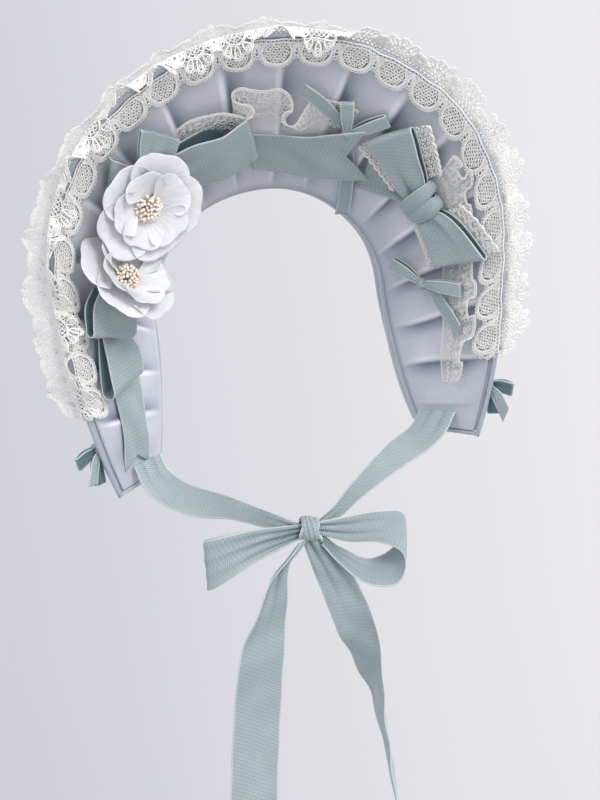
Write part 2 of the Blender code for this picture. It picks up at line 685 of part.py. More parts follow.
CHIN_RIBBONS = {
    "chin_strap_left": (
        Hang(x=-0.1150, y=-0.0300, z=-0.190, yaw=-140, pitch=-4, width=0.030),
        Hang(x=-0.1090, y=-0.0400, z=-0.207, yaw=-135, pitch=-20, width=0.030),
        Hang(x=-0.0900, y=-0.0560, z=-0.220, yaw=-120, pitch=-45, width=0.026),
        Hang(x=-0.0620, y=-0.0740, z=-0.2265, yaw=-110, pitch=-70, width=0.018),
        Hang(x=-0.0380, y=-0.0880, z=-0.2360, yaw=-105, pitch=-80, width=0.014),
        Hang(x=-0.0150, y=-0.1000, z=-0.2435, yaw=-100, pitch=-86, width=0.006)),
    "chin_strap_right": (
        Hang(x=0.1150, y=-0.0300, z=-0.190, yaw=-40, pitch=-4, width=0.030),
        Hang(x=0.1000, y=-0.0420, z=-0.203, yaw=-45, pitch=-20, width=0.028),
        Hang(x=0.0700, y=-0.0560, z=-0.214, yaw=-60, pitch=-45, width=0.022),
        Hang(x=0.0400, y=-0.0720, z=-0.2270, yaw=-70, pitch=-70, width=0.016),
        Hang(x=0.0160, y=-0.0900, z=-0.2380, yaw=-75, pitch=-80, width=0.012),
        Hang(x=-0.0024, y=-0.1000, z=-0.2435, yaw=-80, pitch=-86, width=0.005)),
    "chin_loop_left": (
        Hang(x=-0.0160, y=-0.1045, z=-0.2450, yaw=0, pitch=86, width=0.009),
        Hang(x=-0.0500, y=-0.1040, z=-0.2500, yaw=0, pitch=86, width=0.024),
        Hang(x=-0.0800, y=-0.1000, z=-0.2590, yaw=0, pitch=86, width=0.037),
        Hang(x=-0.0880, y=-0.0940, z=-0.2620, yaw=0, pitch=86, width=0.038),
        Hang(x=-0.0830, y=-0.0890, z=-0.2610, yaw=0, pitch=86, width=0.037),
        Hang(x=-0.0520, y=-0.0900, z=-0.2540, yaw=0, pitch=86, width=0.024),
        Hang(x=-0.0200, y=-0.1010, z=-0.2480, yaw=0, pitch=86, width=0.009)),
    "chin_loop_right": (
        Hang(x=-0.0020, y=-0.1045, z=-0.2450, yaw=0, pitch=84, width=0.009),
        Hang(x=0.0200, y=-0.1040, z=-0.2495, yaw=0, pitch=84, width=0.020),
        Hang(x=0.0440, y=-0.1000, z=-0.2530, yaw=20, pitch=78, width=0.024),
        Hang(x=0.0610, y=-0.0950, z=-0.2610, yaw=60, pitch=55, width=0.030),
        Hang(x=0.0640, y=-0.0930, z=-0.2750, yaw=75, pitch=35, width=0.034),
        Hang(x=0.0520, y=-0.0930, z=-0.2890, yaw=85, pitch=30, width=0.034),
        Hang(x=0.0320, y=-0.0950, z=-0.2880, yaw=85, pitch=35, width=0.026),
        Hang(x=0.0120, y=-0.1000, z=-0.2700, yaw=75, pitch=50, width=0.015),
        Hang(x=0.0000, y=-0.1040, z=-0.2545, yaw=60, pitch=60, width=0.008)),
    "chin_tail_left": (
        Hang(x=-0.0168, y=-0.1080, z=-0.2532, yaw=8, pitch=30, width=0.009),
        Hang(x=-0.0340, y=-0.1080, z=-0.2700, yaw=8, pitch=25, width=0.016),
        Hang(x=-0.0440, y=-0.1060, z=-0.2950, yaw=8, pitch=14, width=0.024),
        Hang(x=-0.0560, y=-0.1020, z=-0.3300, yaw=6, pitch=8, width=0.036),
        Hang(x=-0.0670, y=-0.0980, z=-0.3850, yaw=4, pitch=6, width=0.038),
        Hang(x=-0.0770, y=-0.0960, z=-0.4450, yaw=4, pitch=5, width=0.038),
        Hang(x=-0.0850, y=-0.0950, z=-0.5000, yaw=4, pitch=4, width=0.038)),
    "chin_tail_right": (
        Hang(x=-0.0080, y=-0.1030, z=-0.2551, yaw=0, pitch=30, width=0.012),
        Hang(x=0.0030, y=-0.0980, z=-0.2800, yaw=-4, pitch=30, width=0.024),
        Hang(x=0.0150, y=-0.0940, z=-0.3150, yaw=-10, pitch=25, width=0.031),
        Hang(x=0.0240, y=-0.0920, z=-0.3500, yaw=-35, pitch=15, width=0.034),
        Hang(x=0.0280, y=-0.0930, z=-0.3850, yaw=-70, pitch=6, width=0.036),
        Hang(x=0.0300, y=-0.0950, z=-0.4300, yaw=-78, pitch=4, width=0.038),
        Hang(x=0.0290, y=-0.0960, z=-0.4750, yaw=-74, pitch=4, width=0.038),
        Hang(x=0.0280, y=-0.0960, z=-0.5150, yaw=-72, pitch=4, width=0.038)),
}
CHIN_KNOT = np.array([-0.0090, -0.1035, -0.2440])
CHIN_KNOT_SIZE = (0.012, 0.0078, 0.0082)


def build_chin_bow(finishes):
    """The ribbon that ties under the chin: straps, knot, loops and tails."""
    for name, rows in CHIN_RIBBONS.items():
        add_sheet(name, hanging_grid(rows, 3, 2), RIBBON_WALL, finishes["ribbon"])
    add_sleeve("chin_knot", CHIN_KNOT, np.array([1.0, 0.0, -0.15]), np.array([0.0, -1.0, 0.0]),
               CHIN_KNOT_SIZE, KNOT_WALL, finishes["ribbon"])


def main():
    """Build the whole bonnet."""
    start_scene()
    finishes = {
        "satin": finish("blue_grey_satin", (0.42, 0.47, 0.57), 0.42),
        "binding": finish("satin_binding", (0.38, 0.43, 0.54), 0.40),
        "ribbon": finish("dusty_teal_ribbon", (0.36, 0.52, 0.55), 0.55),
        "lace": finish("off_white_lace", (0.82, 0.80, 0.75), 0.85),
        "tulle": finish("off_white_tulle", (0.80, 0.79, 0.77), 0.80),
        "organza": finish("white_organza", (0.90, 0.90, 0.91), 0.60),
        "stamen": finish("cream_stamens", (0.85, 0.76, 0.58), 0.50),
    }
    build_brim(finishes)
    build_laces(finishes)
    build_frills(finishes)
    build_left_bow(finishes)
    build_right_bow(finishes)
    for bow in NARROW_BOWS:
        build_narrow_bow(bow, finishes["ribbon"])
    for flower in FLOWERS:
        build_flower(flower, finishes)
    build_chin_bow(finishes)


main()
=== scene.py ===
"""Dresses the lolita bonnet: satin, lace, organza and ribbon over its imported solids.

Lengths are metres and +Z is up. A place on the brim is given as `around`, from -1 at the left
tip over the top to 1 at the right tip, `out`, from 0 at the seat to 1 at the front edge, and
`up`, the height over the lining on the wearer's side.
"""

import logging
import math
from dataclasses import dataclass, field
from enum import Enum
from typing import Callable, NamedTuple, Optional, Sequence

import bpy
import numpy as np
from mathutils import Matrix, Vector

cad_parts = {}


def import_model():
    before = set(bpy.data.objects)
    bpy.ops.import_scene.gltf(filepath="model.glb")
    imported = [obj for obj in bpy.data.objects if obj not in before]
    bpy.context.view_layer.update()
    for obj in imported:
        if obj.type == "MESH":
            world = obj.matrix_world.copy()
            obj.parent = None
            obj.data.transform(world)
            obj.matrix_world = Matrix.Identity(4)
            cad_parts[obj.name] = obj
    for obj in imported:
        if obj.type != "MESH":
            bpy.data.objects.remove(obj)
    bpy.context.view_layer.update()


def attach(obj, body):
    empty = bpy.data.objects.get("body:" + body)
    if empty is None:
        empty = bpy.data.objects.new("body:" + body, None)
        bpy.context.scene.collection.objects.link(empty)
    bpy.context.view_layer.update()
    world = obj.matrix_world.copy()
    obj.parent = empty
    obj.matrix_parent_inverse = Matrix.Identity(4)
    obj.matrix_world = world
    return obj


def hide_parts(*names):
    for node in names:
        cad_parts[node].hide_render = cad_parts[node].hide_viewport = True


Array = np.ndarray
Object = bpy.types.Object
Material = bpy.types.Material
Mesh = bpy.types.Mesh
Node = bpy.types.Node
NodeTree = bpy.types.NodeTree
Socket = bpy.types.NodeSocket
Triple = tuple[float, float, float]

LOG = logging.getLogger("bonnet")
BODY = "root"
UV_NAME = "cloth"
MILLIMETRE = 0.001

GAP = 0.0003
REST_GAP = 0.0007
SHELL_WALL = 0.002
SHELL_BACK = REST_GAP + SHELL_WALL
LINING_WALL = 0.0012
BAND_WALL = 0.002
BAND_DEPTH = 0.028
BINDING_RADIUS = 0.002
RIBBON_WALL = 0.0008
NET_WALL = 0.0004
PLEATS_EACH_SIDE = 9
PLEAT_HEIGHT = 0.0024
PLEAT_LEAN = 0.055
PLEAT_START = 0.495
LINING_ROWS = (0.0, 0.25, 0.72, 0.97)
LACE_END = 0.84
LACE_REPEATS = 24
NARROW_RIBBON = 0.011
WIDE_RIBBON = 0.038
WRAP_CUT = 0.020
SATIN_CUT = 0.150


class Held(Enum):
    """How a sheet of cloth is held in place."""

    GATHERED = "gathered"
    STRETCHED = "stretched"
    FOLDED = "folded"
    HUNG = "hung"
    LAID = "laid"


class Cut(Enum):
    """How the free end of a ribbon is cut."""

    SQUARE = "square"
    SLANTED = "slanted"
    NOTCHED = "notched"


class Slot(Enum):
    """The record's material slots."""

    SATIN = "satin"
    BINDING = "binding"
    RIBBON = "ribbon"
    LACE = "lace"
    TULLE = "tulle"
    ORGANZA = "organza"
    STAMEN = "stamen"


class Fold(NamedTuple):
    """One section across a ribbon that lies over the brim."""

    around: float
    out: float
    up: float
    turn: float
    tilt: float
    width: float


class Hang(NamedTuple):
    """One section across a ribbon that hangs free of the brim."""

    x: float
    y: float
    z: float
    yaw: float
    pitch: float
    width: float


class Ruffle(NamedTuple):
    """One section from the root to the free edge of a frill."""

    around: float
    root: float
    edge: float
    up: float
    drift: float = 0.0


def folds(*rows: tuple[float, ...]) -> tuple[Fold, ...]:
    """A ribbon's sections over the brim, each given as around, out, up, turn, tilt and width."""
    return tuple(Fold(*row) for row in rows)


def hangs(*rows: tuple[float, ...]) -> tuple[Hang, ...]:
    """A free ribbon's sections, each given as x, y, z, yaw, pitch and width."""
    return tuple(Hang(*row) for row in rows)


# The shape of the brim


def unit(vectors: Array) -> Array:
    """The same directions with a length of 1."""
    return vectors / np.linalg.norm(vectors, axis=-1, keepdims=True)


def circle(count: int) -> Array:
    """Angles evenly round a circle."""
    return np.arange(count) * 2 * math.pi / count


@dataclass
class Arch:
    """A symmetric arch, kept as its right half from the top to the tip."""

    half_width: float
    top: tuple[float, float]
    widest: tuple[float, float]
    tip: Triple
    points: Array = field(init=False)
    run: Array = field(init=False)

    def __post_init__(self) -> None:
        """Sample the half arch and the length run along it."""
        quarter = np.linspace(0.0, math.pi / 2, 120)
        side = np.linspace(0.0, 1.0, 80)[1:]
        (z0, y0), (z1, y1), (x2, y2, z2) = self.top, self.widest, self.tip
        x = np.concatenate([self.half_width * np.sin(quarter),
                            self.half_width + (x2 - self.half_width) * side ** 2])
        z = np.concatenate([z1 + (z0 - z1) * np.cos(quarter), z1 + (z2 - z1) * side])
        y = (y0 * (z - z1) * (z - z2) / ((z0 - z1) * (z0 - z2))
             + y1 * (z - z0) * (z - z2) / ((z1 - z0) * (z1 - z2))
             + y2 * (z - z0) * (z - z1) / ((z2 - z0) * (z2 - z1)))
        self.points = np.stack([x, y, z], axis=1)
        self.run = np.concatenate([[0.0], np.cumsum(np.linalg.norm(np.diff(self.points, axis=0), axis=1))])

    def at(self, around: Array) -> Array:
        """Points of the whole arch, going straight on past its tips.

        Args:
            around: places from -1 at the left tip to 1 at the right tip.

        Returns:
            The points, with one more axis than `around`.
        """
        share = np.abs(around)
        found = np.stack([np.interp(share * self.run[-1], self.run, self.points[:, axis])
                          for axis in range(3)], axis=-1)
        past = (np.maximum(share - 1.0, 0.0) * self.run[-1])[..., None]
        found = found + past * unit(self.points[-1] - self.points[-2])
        found[..., 0] *= np.where(around < 0, -1.0, 1.0)
        return found


@dataclass
class Brim:
    """The ruled surface from the seat arch to the front edge."""

    front: Arch
    seat: Arch

    def point(self, around: Array, out: Array) -> Array:
        """Points of the bare brim surface."""
        around, out = np.broadcast_arrays(np.asarray(around, float), np.asarray(out, float))
        seat = self.seat.at(around)
        return seat + (self.front.at(around) - seat) * out[..., None]

    def axes(self, around: Array, out: Array) -> tuple[Array, Array, Array]:
        """Both derivatives of the surface and its unit normal to the wearer's side."""
        step = 1e-3
        by_around = (self.point(around + step, out) - self.point(around - step, out)) / (2 * step)
        by_out = (self.point(around, out + step) - self.point(around, out - step)) / (2 * step)
        normal = unit(np.cross(by_out, by_around))
        return by_around, by_out, np.where(normal[..., 1:2] > 0, -normal, normal)

    def place(self, around: Array, out: Array, height: Array) -> Array:
        """Points at a height over the brim surface."""
        around, out, height = np.broadcast_arrays(*[np.asarray(v, float) for v in (around, out, height)])
        return self.point(around, out) + self.axes(around, out)[2] * height[..., None]

    def shift(self, around: Array, out: Array, along: Array, across: Array) -> tuple[Array, Array]:
        """Brim coordinates reached by going along the arch and across it, in metres."""
        by_around, by_out, normal = self.axes(around, out)
        length = np.linalg.norm(by_around, axis=-1)
        tangent = by_around / length[..., None]
        outward = np.cross(tangent, normal)
        outward_share = across / np.abs(np.sum(outward * by_out, axis=-1))
        sideways = np.sum(by_out * tangent, axis=-1)
        return around + (along - outward_share * sideways) / length, out + outward_share

    def slant(self, around: Array) -> Array:
        """Length of the brim from its seat to its front edge."""
        return np.linalg.norm(self.front.at(around) - self.seat.at(around), axis=-1)

    def crest(self, around: Array, out: Array) -> Array:
        """Height of the crests of the lining's pleats, which fade at the seat and the edge."""
        fade = np.clip(out / LINING_ROWS[1], 0.0, 1.0) * np.clip(
            (LINING_ROWS[3] - out) / (LINING_ROWS[3] - LINING_ROWS[2]), 0.0, 1.0)
        return PLEAT_HEIGHT * fade * np.clip((0.97 - np.abs(around)) / 0.08, 0.0, 1.0)

    def rest(self, around: Array, out: Array, wall: float) -> Array:
        """Height of the middle of a sheet that lies on the crests of the lining's pleats."""
        return LINING_WALL + self.crest(around, out) + REST_GAP + wall / 2

    def frame(self, around: float, out: float) -> tuple[Array, Array, Array, Array]:
        """Centre, direction along the arch, direction outward and normal at one place."""
        by_around, by_out, normal = self.axes(around, out)
        tangent = unit(by_around)
        outward = np.cross(tangent, normal)
        return self.point(around, out), tangent, outward * np.sign(outward @ by_out), normal


BRIM = Brim(front=Arch(half_width=0.164, top=(0.115, -0.095), widest=(-0.034, -0.090),
                       tip=(0.139, -0.045, -0.207)),
            seat=Arch(half_width=0.092, top=(0.0, 0.0), widest=(-0.092, 0.002),
                      tip=(0.106, -0.010, -0.203)))


# Grids of points that become cloth


def smooth_rows(rows: Sequence[Sequence[float]], steps: int) -> Array:
    """Extra rows on a smooth curve through a table's rows."""
    table = np.array(rows, float)
    padded = np.vstack([2 * table[0] - table[1], table, 2 * table[-1] - table[-2]])
    found = []
    for index in range(len(table) - 1):
        before, start, end, after = padded[index:index + 4]
        for t in np.arange(steps) / steps:
            found.append(0.5 * (2 * start + (end - before) * t
                                + (2 * before - 5 * start + 4 * end - after) * t ** 2
                                + (3 * start - before - 3 * end + after) * t ** 3))
    found.append(table[-1])
    return np.array(found)


def brim_grid(stations: Array, columns: int, wall: float = RIBBON_WALL) -> Array:
    """Points of a ribbon over the brim, kept off the lining."""
    around, out, up, turn, tilt, width = [stations[:, column, None] for column in range(6)]
    across = np.linspace(-0.5, 0.5, columns + 1)[None, :] * width
    flat = across * np.cos(np.radians(tilt))
    along, outward = flat * np.cos(np.radians(turn)), flat * np.sin(np.radians(turn))
    around, out, along, outward = np.broadcast_arrays(around, out, along, outward)
    there_around, there_out = BRIM.shift(around, out, along, outward)
    rise = up + across * np.sin(np.radians(tilt))
    inside = (there_out < 1.0) & (up > 0.0)
    lowest = BRIM.rest(there_around, there_out, wall)
    return BRIM.place(there_around, there_out, np.where(inside, np.maximum(rise, lowest), rise))


def loop_stations(rows: Sequence[Fold], under: float, steps: int) -> tuple[Array, int]:
    """Sections of a loop: out along its rows, round a bend, and back underneath.

    Args:
        rows: the sections of its front.
        under: the height of its back.
        steps: the number of smoothed sections between two rows.

    Returns:
        All the sections, and how many of them are before the bend.
    """
    front = smooth_rows(rows, steps)
    last, before = front[-1], front[-3]
    centre, tangent, outward, _ = BRIM.frame(last[0], last[1])
    travel = centre - BRIM.point(before[0], before[1])
    heading = math.atan2(travel @ outward, travel @ tangent)
    radius = (last[2] - under) / 2
    bend = []
    for angle in np.arange(75.0, -76.0, -15.0):
        reach = abs(radius) * math.cos(math.radians(angle))
        around, out = BRIM.shift(last[0], last[1], reach * math.cos(heading), reach * math.sin(heading))
        height = (last[2] + under) / 2 + radius * math.sin(math.radians(angle))
        bend.append([float(around), float(out), height, last[3], last[4] * (angle + 90.0) / 180.0, last[5]])
    back = front[::-1].copy()
    back[:, 2] = under
    back[:, 4] = 0.0
    return np.vstack([front, bend, back]), len(front)


def hanging_grid(rows: Sequence[Hang], columns: int, steps: int) -> Array:
    """Points of a ribbon that hangs free of the brim."""
    stations = smooth_rows(rows, steps)
    yaw, pitch = np.radians(stations[:, 3]), np.radians(stations[:, 4])
    direction = np.stack([np.cos(pitch) * np.cos(yaw), np.cos(pitch) * np.sin(yaw), np.sin(pitch)], axis=1)
    across = np.linspace(-0.5, 0.5, columns + 1)
    return stations[:, None, :3] + across[None, :, None] * stations[:, 5, None, None] * direction[:, None, :]


def run_along(grid: Array) -> Array:
    """Length run along each column of a grid."""
    steps = np.linalg.norm(np.diff(grid, axis=0), axis=2)
    return np.vstack([np.zeros(grid.shape[1]), np.cumsum(steps, axis=0)])


def run_across(grid: Array) -> Array:
    """Length run along each row of a grid."""
    steps = np.linalg.norm(np.diff(grid, axis=1), axis=2)
    return np.hstack([np.zeros((grid.shape[0], 1)), np.cumsum(steps, axis=1)])


def normals_of(grid: Array) -> Array:
    """Unit normals of a grid of points."""
    normal = np.cross(np.gradient(grid, axis=0), np.gradient(grid, axis=1))
    size = np.linalg.norm(normal, axis=2, keepdims=True)
    return normal / np.maximum(size, 1e-12)


@dataclass(frozen=True)
class Gather:
    """Creases that run out of a knot along a ribbon, and the soft waves of the rest."""

    depth: float = 0.0012
    count: float = 2.5
    reach: float = 0.018
    phase: float = 0.0
    both_ends: bool = False
    ripple: float = 0.0004
    seed: int = 1
    cup: float = 0.0

    def shape(self, grid: Array) -> tuple[Array, Array]:
        """Move a grid's points along its normals into folds.

        Args:
            grid: the ribbon's points, from its knot.

        Returns:
            The folded points, and how deep in a crease each one lies, from 0 to 1.
        """
        run = run_along(grid)[:, grid.shape[1] // 2]
        fade = np.exp(-(run / self.reach) ** 2)
        if self.both_ends:
            fade = fade + np.exp(-((run[-1] - run) / self.reach) ** 2)
        share = np.linspace(-0.5, 0.5, grid.shape[1])
        crease = 1.0 - np.abs(np.cos(math.pi * self.count * share[None, :] + self.phase)) ** 0.6
        folds = self.depth * fade[:, None] * (0.6 - 2.0 * crease)
        folds = folds + self.cup * np.clip(run / 0.05, 0.0, 1.0)[:, None] * (4 * share[None, :] ** 2 - 0.33)
        random = np.random.default_rng(self.seed)
        width = run_across(grid)[:, -1].mean()
        waves = np.zeros(folds.shape)
        for _ in range(4):
            along, across, start = random.uniform(9, 30), random.uniform(-40, 40), random.uniform(0, 6.3)
            waves += np.sin(2 * math.pi * (run[:, None] * along + share[None, :] * width * across) + start)
        ends = np.clip(run / 0.012, 0.0, 1.0) * np.clip((run[-1] - run) / 0.006, 0.3, 1.0)
        moved = grid + normals_of(grid) * (folds + self.ripple / 2 * waves * ends[:, None])[..., None]
        return moved, crease ** 1.5 * np.clip(fade, 0.0, 1.0)[:, None] * min(1.0, self.depth / 0.001)


def trim_end(grid: Array, cut: Cut, depth: float) -> Array:
    """Cut a ribbon's free end, at its last row, to a slant or a notch."""
    if cut is Cut.SQUARE:
        return grid
    columns = grid.shape[1]
    share = np.linspace(0.0, 1.0, columns)
    pull = share if cut is Cut.SLANTED else 1.0 - np.abs(2 * share - 1.0)
    run = run_along(grid)[:, columns // 2]
    start = max(0.0, 1.0 - 3.0 * depth / run[-1])
    trimmed = grid.copy()
    place = run / run[-1]
    late = np.clip((place - start) / (1.0 - start), 0.0, 1.0)
    for column in range(columns):
        wanted = place - late * pull[column] * depth / run[-1]
        for axis in range(3):
            trimmed[:, column, axis] = np.interp(wanted, place, grid[:, column, axis])
    return trimmed


@dataclass
class GridSurface:
    """A grid of points that can be read between its rows and columns."""

    grid: Array
    normals: Array = field(init=False)

    def __post_init__(self) -> None:
        """Keep the grid's normals."""
        self.normals = normals_of(self.grid)

    def at(self, along: Array, across: Array, lift: float) -> Array:
        """Points at shares along and across the grid, lifted off it along its normals."""
        rows, columns = self.grid.shape[:2]
        r = np.clip(along, 0.0, 1.0) * (rows - 1)
        c = np.clip(across, 0.0, 1.0) * (columns - 1)
        r0, c0 = np.minimum(r.astype(int), rows - 2), np.minimum(c.astype(int), columns - 2)
        fr, fc = (r - r0)[..., None], (c - c0)[..., None]

        def mix(table: Array) -> Array:
            """Read a table between its rows and columns."""
            return ((table[r0, c0] * (1 - fc) + table[r0, c0 + 1] * fc) * (1 - fr)
                    + (table[r0 + 1, c0] * (1 - fc) + table[r0 + 1, c0 + 1] * fc) * fr)

        return mix(self.grid) + mix(self.normals) * lift


# Node trees


class Tree:
    """A thin layer over a node tree that adds, sets and joins its nodes."""

    def __init__(self, tree: NodeTree) -> None:
        """Keep the tree that is filled."""
        self.tree = tree

    def feed(self, socket: Socket, value: object) -> None:
        """Join a socket to an output, or set its value."""
        if isinstance(value, Socket):
            self.tree.links.new(value, socket)
        else:
            socket.default_value = value

    def add(self, kind: str, inputs: Optional[dict] = None, **settings: object) -> Node:
        """Add a node with its settings and inputs.

        Args:
            kind: the node's type name.
            inputs: values or outputs by the input's name or number.
            settings: attributes of the node.

        Returns:
            The node.
        """
        node = self.tree.nodes.new(kind)
        for name, value in settings.items():
            setattr(node, name, value)
        for name, value in (inputs or {}).items():
            self.feed(node.inputs[name], value)
        return node

    def math(self, operation: str, *values: object) -> Socket:
        """A Math node's result."""
        return self.add("ShaderNodeMath", dict(enumerate(values)), operation=operation).outputs[0]

    def mix(self, share: object, low: object, high: object) -> Socket:
        """A colour between two colours."""
        node = self.add("ShaderNodeMix", data_type="RGBA")
        for name, value in (("Factor", share), ("A", low), ("B", high)):
            kinds = "VALUE" if name == "Factor" else "RGBA"
            self.feed(next(s for s in node.inputs if s.name == name and s.type == kinds), value)
        return next(s for s in node.outputs if s.type == "RGBA")

    def tint(self, share: Socket, amount: float, low: object, high: object) -> Socket:
        """A colour between two colours, by a part of a mask."""
        return self.mix(self.math("MULTIPLY", share, amount), low, high)

    def attribute(self, name: str) -> Socket:
        """The value of one of the piece's own attributes."""
        return self.add("ShaderNodeAttribute", attribute_name=name).outputs["Fac"]

    def bump(self, relief: Socket, strength: float, distance: float) -> Socket:
        """A normal bent by a relief."""
        node = self.add("ShaderNodeBump", {"Height": relief, "Strength": strength, "Distance": distance})
        return node.outputs[0]

    def finish(self, values: dict) -> None:
        """Set or join inputs of a material's Principled shader."""
        for name, value in values.items():
            self.feed(self.tree.nodes["Principled BSDF"].inputs[name], value)

    def end(self, geometry: Socket, finish: Socket, result: Node) -> None:
        """Make a geometry's copies real, set its finish and pass it on."""
        real = self.add("GeometryNodeRealizeInstances", {"Geometry": geometry})
        done = self.add("GeometryNodeSetMaterial", {"Geometry": real.outputs["Geometry"], "Material": finish})
        self.feed(result.inputs["Geometry"], done.outputs["Geometry"])

    def group(self, tree: NodeTree, inputs: dict) -> Node:
        """Place a node group with its own values."""
        kind = "GeometryNodeGroup" if tree.bl_idname == "GeometryNodeTree" else "ShaderNodeGroup"
        node = self.tree.nodes.new(kind)
        node.node_tree = tree
        for name, value in inputs.items():
            self.feed(node.inputs[name], value)
        return node


def new_group(name: str, kind: str, inputs: Sequence[tuple[str, str, object]],
              outputs: Sequence[tuple[str, str]]) -> tuple[Tree, Node, Node]:
    """A node group with its sockets.

    Args:
        name: the group's name.
        kind: ShaderNodeTree or GeometryNodeTree.
        inputs: name, socket type and default value of each input.
        outputs: name and socket type of each output.

    Returns:
        The tree, its input node and its output node.
    """
    tree = bpy.data.node_groups.new(name, kind)
    for title, socket_type, value in inputs:
        socket = tree.interface.new_socket(title, in_out="INPUT", socket_type=socket_type)
        if value is not None:
            socket.default_value = value
    for title, socket_type in outputs:
        tree.interface.new_socket(title, in_out="OUTPUT", socket_type=socket_type)
    layer = Tree(tree)
    return layer, layer.add("NodeGroupInput"), layer.add("NodeGroupOutput")


class ShaderKit:
    """The effects that several materials share, each a node group."""

    def __init__(self) -> None:
        """Build each group once."""
        self.weave = self.build_weave()
        self.tone = self.build_tone()
        self.border = self.build_border()

    def start(self, name: str, patches: float, creases: float) -> tuple[Material, Tree, Node]:
        """A cloth's material, its tree and its change of tone."""
        material, tree = start_material(name)
        place = tree.add("ShaderNodeTexCoord").outputs["Object"]
        return material, tree, tree.group(self.tone, {"Place": place, "Patches": patches, "Creases": creases})

    def thread_lines(self, tree: Tree, pitch: float, turn: float) -> tuple[Socket, Node]:
        """A piece's own flat coordinates, and the threads that cross on them."""
        flat = tree.add("ShaderNodeUVMap", uv_map=UV_NAME).outputs["UV"]
        return flat, tree.group(self.weave, {"Flat": flat, "Pitch": pitch, "Turn": turn})

    @staticmethod
    def build_weave() -> NodeTree:
        """Crossing threads on the piece's own flat coordinates."""
        tree, given, result = new_group(
            "woven_threads", "ShaderNodeTree",
            [("Flat", "NodeSocketVector", None), ("Pitch", "NodeSocketFloat", 0.001),
             ("Turn", "NodeSocketFloat", 1.0)],
            [("Height", "NodeSocketFloat"), ("Thread", "NodeSocketFloat")])
        flat = tree.add("ShaderNodeSeparateXYZ", {0: given.outputs["Flat"]})
        turned = tree.math("MULTIPLY", flat.outputs["Y"], given.outputs["Turn"])
        waves = []
        for operation, share in (("ADD", 1.0), ("SUBTRACT", 0.5)):
            sum_of = tree.math(operation, flat.outputs["X"], turned)
            phase = tree.math("DIVIDE", sum_of, given.outputs["Pitch"])
            waves.append(tree.math("SINE", tree.math("MULTIPLY", phase, 2.0 * share * math.pi)))
        rib = tree.math("MULTIPLY_ADD", waves[0], 0.5, 0.5)
        cross = tree.math("MULTIPLY_ADD", waves[1], 0.25, 0.75)
        tree.feed(result.inputs["Height"], tree.math("SUBTRACT", 1.0, rib))
        tree.feed(result.inputs["Thread"], tree.math("MULTIPLY", rib, cross))
        return tree.tree

    @staticmethod
    def build_tone() -> NodeTree:
        """Slow change of tone and fine creases over the piece."""
        tree, given, result = new_group(
            "cloth_tone", "ShaderNodeTree",
            [("Place", "NodeSocketVector", None), ("Patches", "NodeSocketFloat", 20.0),
             ("Creases", "NodeSocketFloat", 120.0)],
            [("Tone", "NodeSocketFloat"), ("Crease", "NodeSocketFloat")])
        for title, scale, detail in (("Tone", "Patches", 3.0), ("Crease", "Creases", 5.0)):
            noise = tree.add("ShaderNodeTexNoise", {"Vector": given.outputs["Place"],
                                                    "Scale": given.outputs[scale], "Detail": detail})
            tree.feed(result.inputs[title], noise.outputs["Fac"])
        return tree.tree

    @staticmethod
    def build_border() -> NodeTree:
        """A mask for the stretch beside an edge, from the distance to it."""
        tree, given, result = new_group(
            "edge_border", "ShaderNodeTree",
            [("Distance", "NodeSocketFloat", 0.0), ("Width", "NodeSocketFloat", 0.001)],
            [("Mask", "NodeSocketFloat")])
        share = tree.math("DIVIDE", given.outputs["Distance"], given.outputs["Width"])
        mask = tree.math("SUBTRACT", 1.0, share)
        node = tree.add("ShaderNodeMath", {0: mask, 1: 1.6}, operation="MULTIPLY", use_clamp=True)
        tree.feed(result.inputs["Mask"], node.outputs[0])
        return tree.tree


def colour(red: float, green: float, blue: float) -> tuple[float, float, float, float]:
    """A linear colour from the eight-bit values of a display."""
    def linear(value: float) -> float:
        """One channel."""
        share = value / 255.0
        return share / 12.92 if share <= 0.04045 else ((share + 0.055) / 1.055) ** 2.4

    return linear(red), linear(green), linear(blue), 1.0


def start_material(name: str) -> tuple[Material, Tree]:
    """A material and its tree."""
    material = bpy.data.materials.new(name)
    material.use_nodes = True
    return material, Tree(material.node_tree)


@dataclass(frozen=True)
class RibbonFinish:
    """Matte woven ribbon with a paler line along each edge."""

    kit: ShaderKit
    name: str = "dusty_teal_ribbon"
    light: tuple = colour(186, 194, 195)
    dark: tuple = colour(144, 160, 164)
    deep: tuple = colour(70, 102, 110)
    edge: tuple = colour(206, 215, 216)
    rib: tuple = colour(104, 126, 132)
    pitch: float = 0.0016

    def material(self) -> Material:
        """Build the material."""
        made, tree, tone = self.kit.start(self.name, 26.0, 260.0)
        _, weave = self.kit.thread_lines(tree, self.pitch, 0.35)
        cloth = tree.mix(tone.outputs["Tone"], self.dark, self.light)
        cloth = tree.tint(weave.outputs["Thread"], 0.62, cloth, self.rib)
        cloth = tree.tint(tree.attribute("shade"), 0.85, cloth, self.deep)
        border = tree.group(self.kit.border, {"Distance": tree.attribute("rim"), "Width": 0.0012})
        cloth = tree.tint(border.outputs["Mask"], 0.75, cloth, self.edge)
        relief = tree.math("MULTIPLY_ADD", tone.outputs["Crease"], 0.5, weave.outputs["Height"])
        rough = tree.math("MULTIPLY_ADD", weave.outputs["Height"], -0.1, 0.60)
        tree.finish({"Base Color": cloth, "Roughness": rough, "Normal": tree.bump(relief, 0.6, 0.0004),
                     "Sheen Weight": 0.25, "Sheen Roughness": 0.4, "Specular IOR Level": 0.3})
        return made


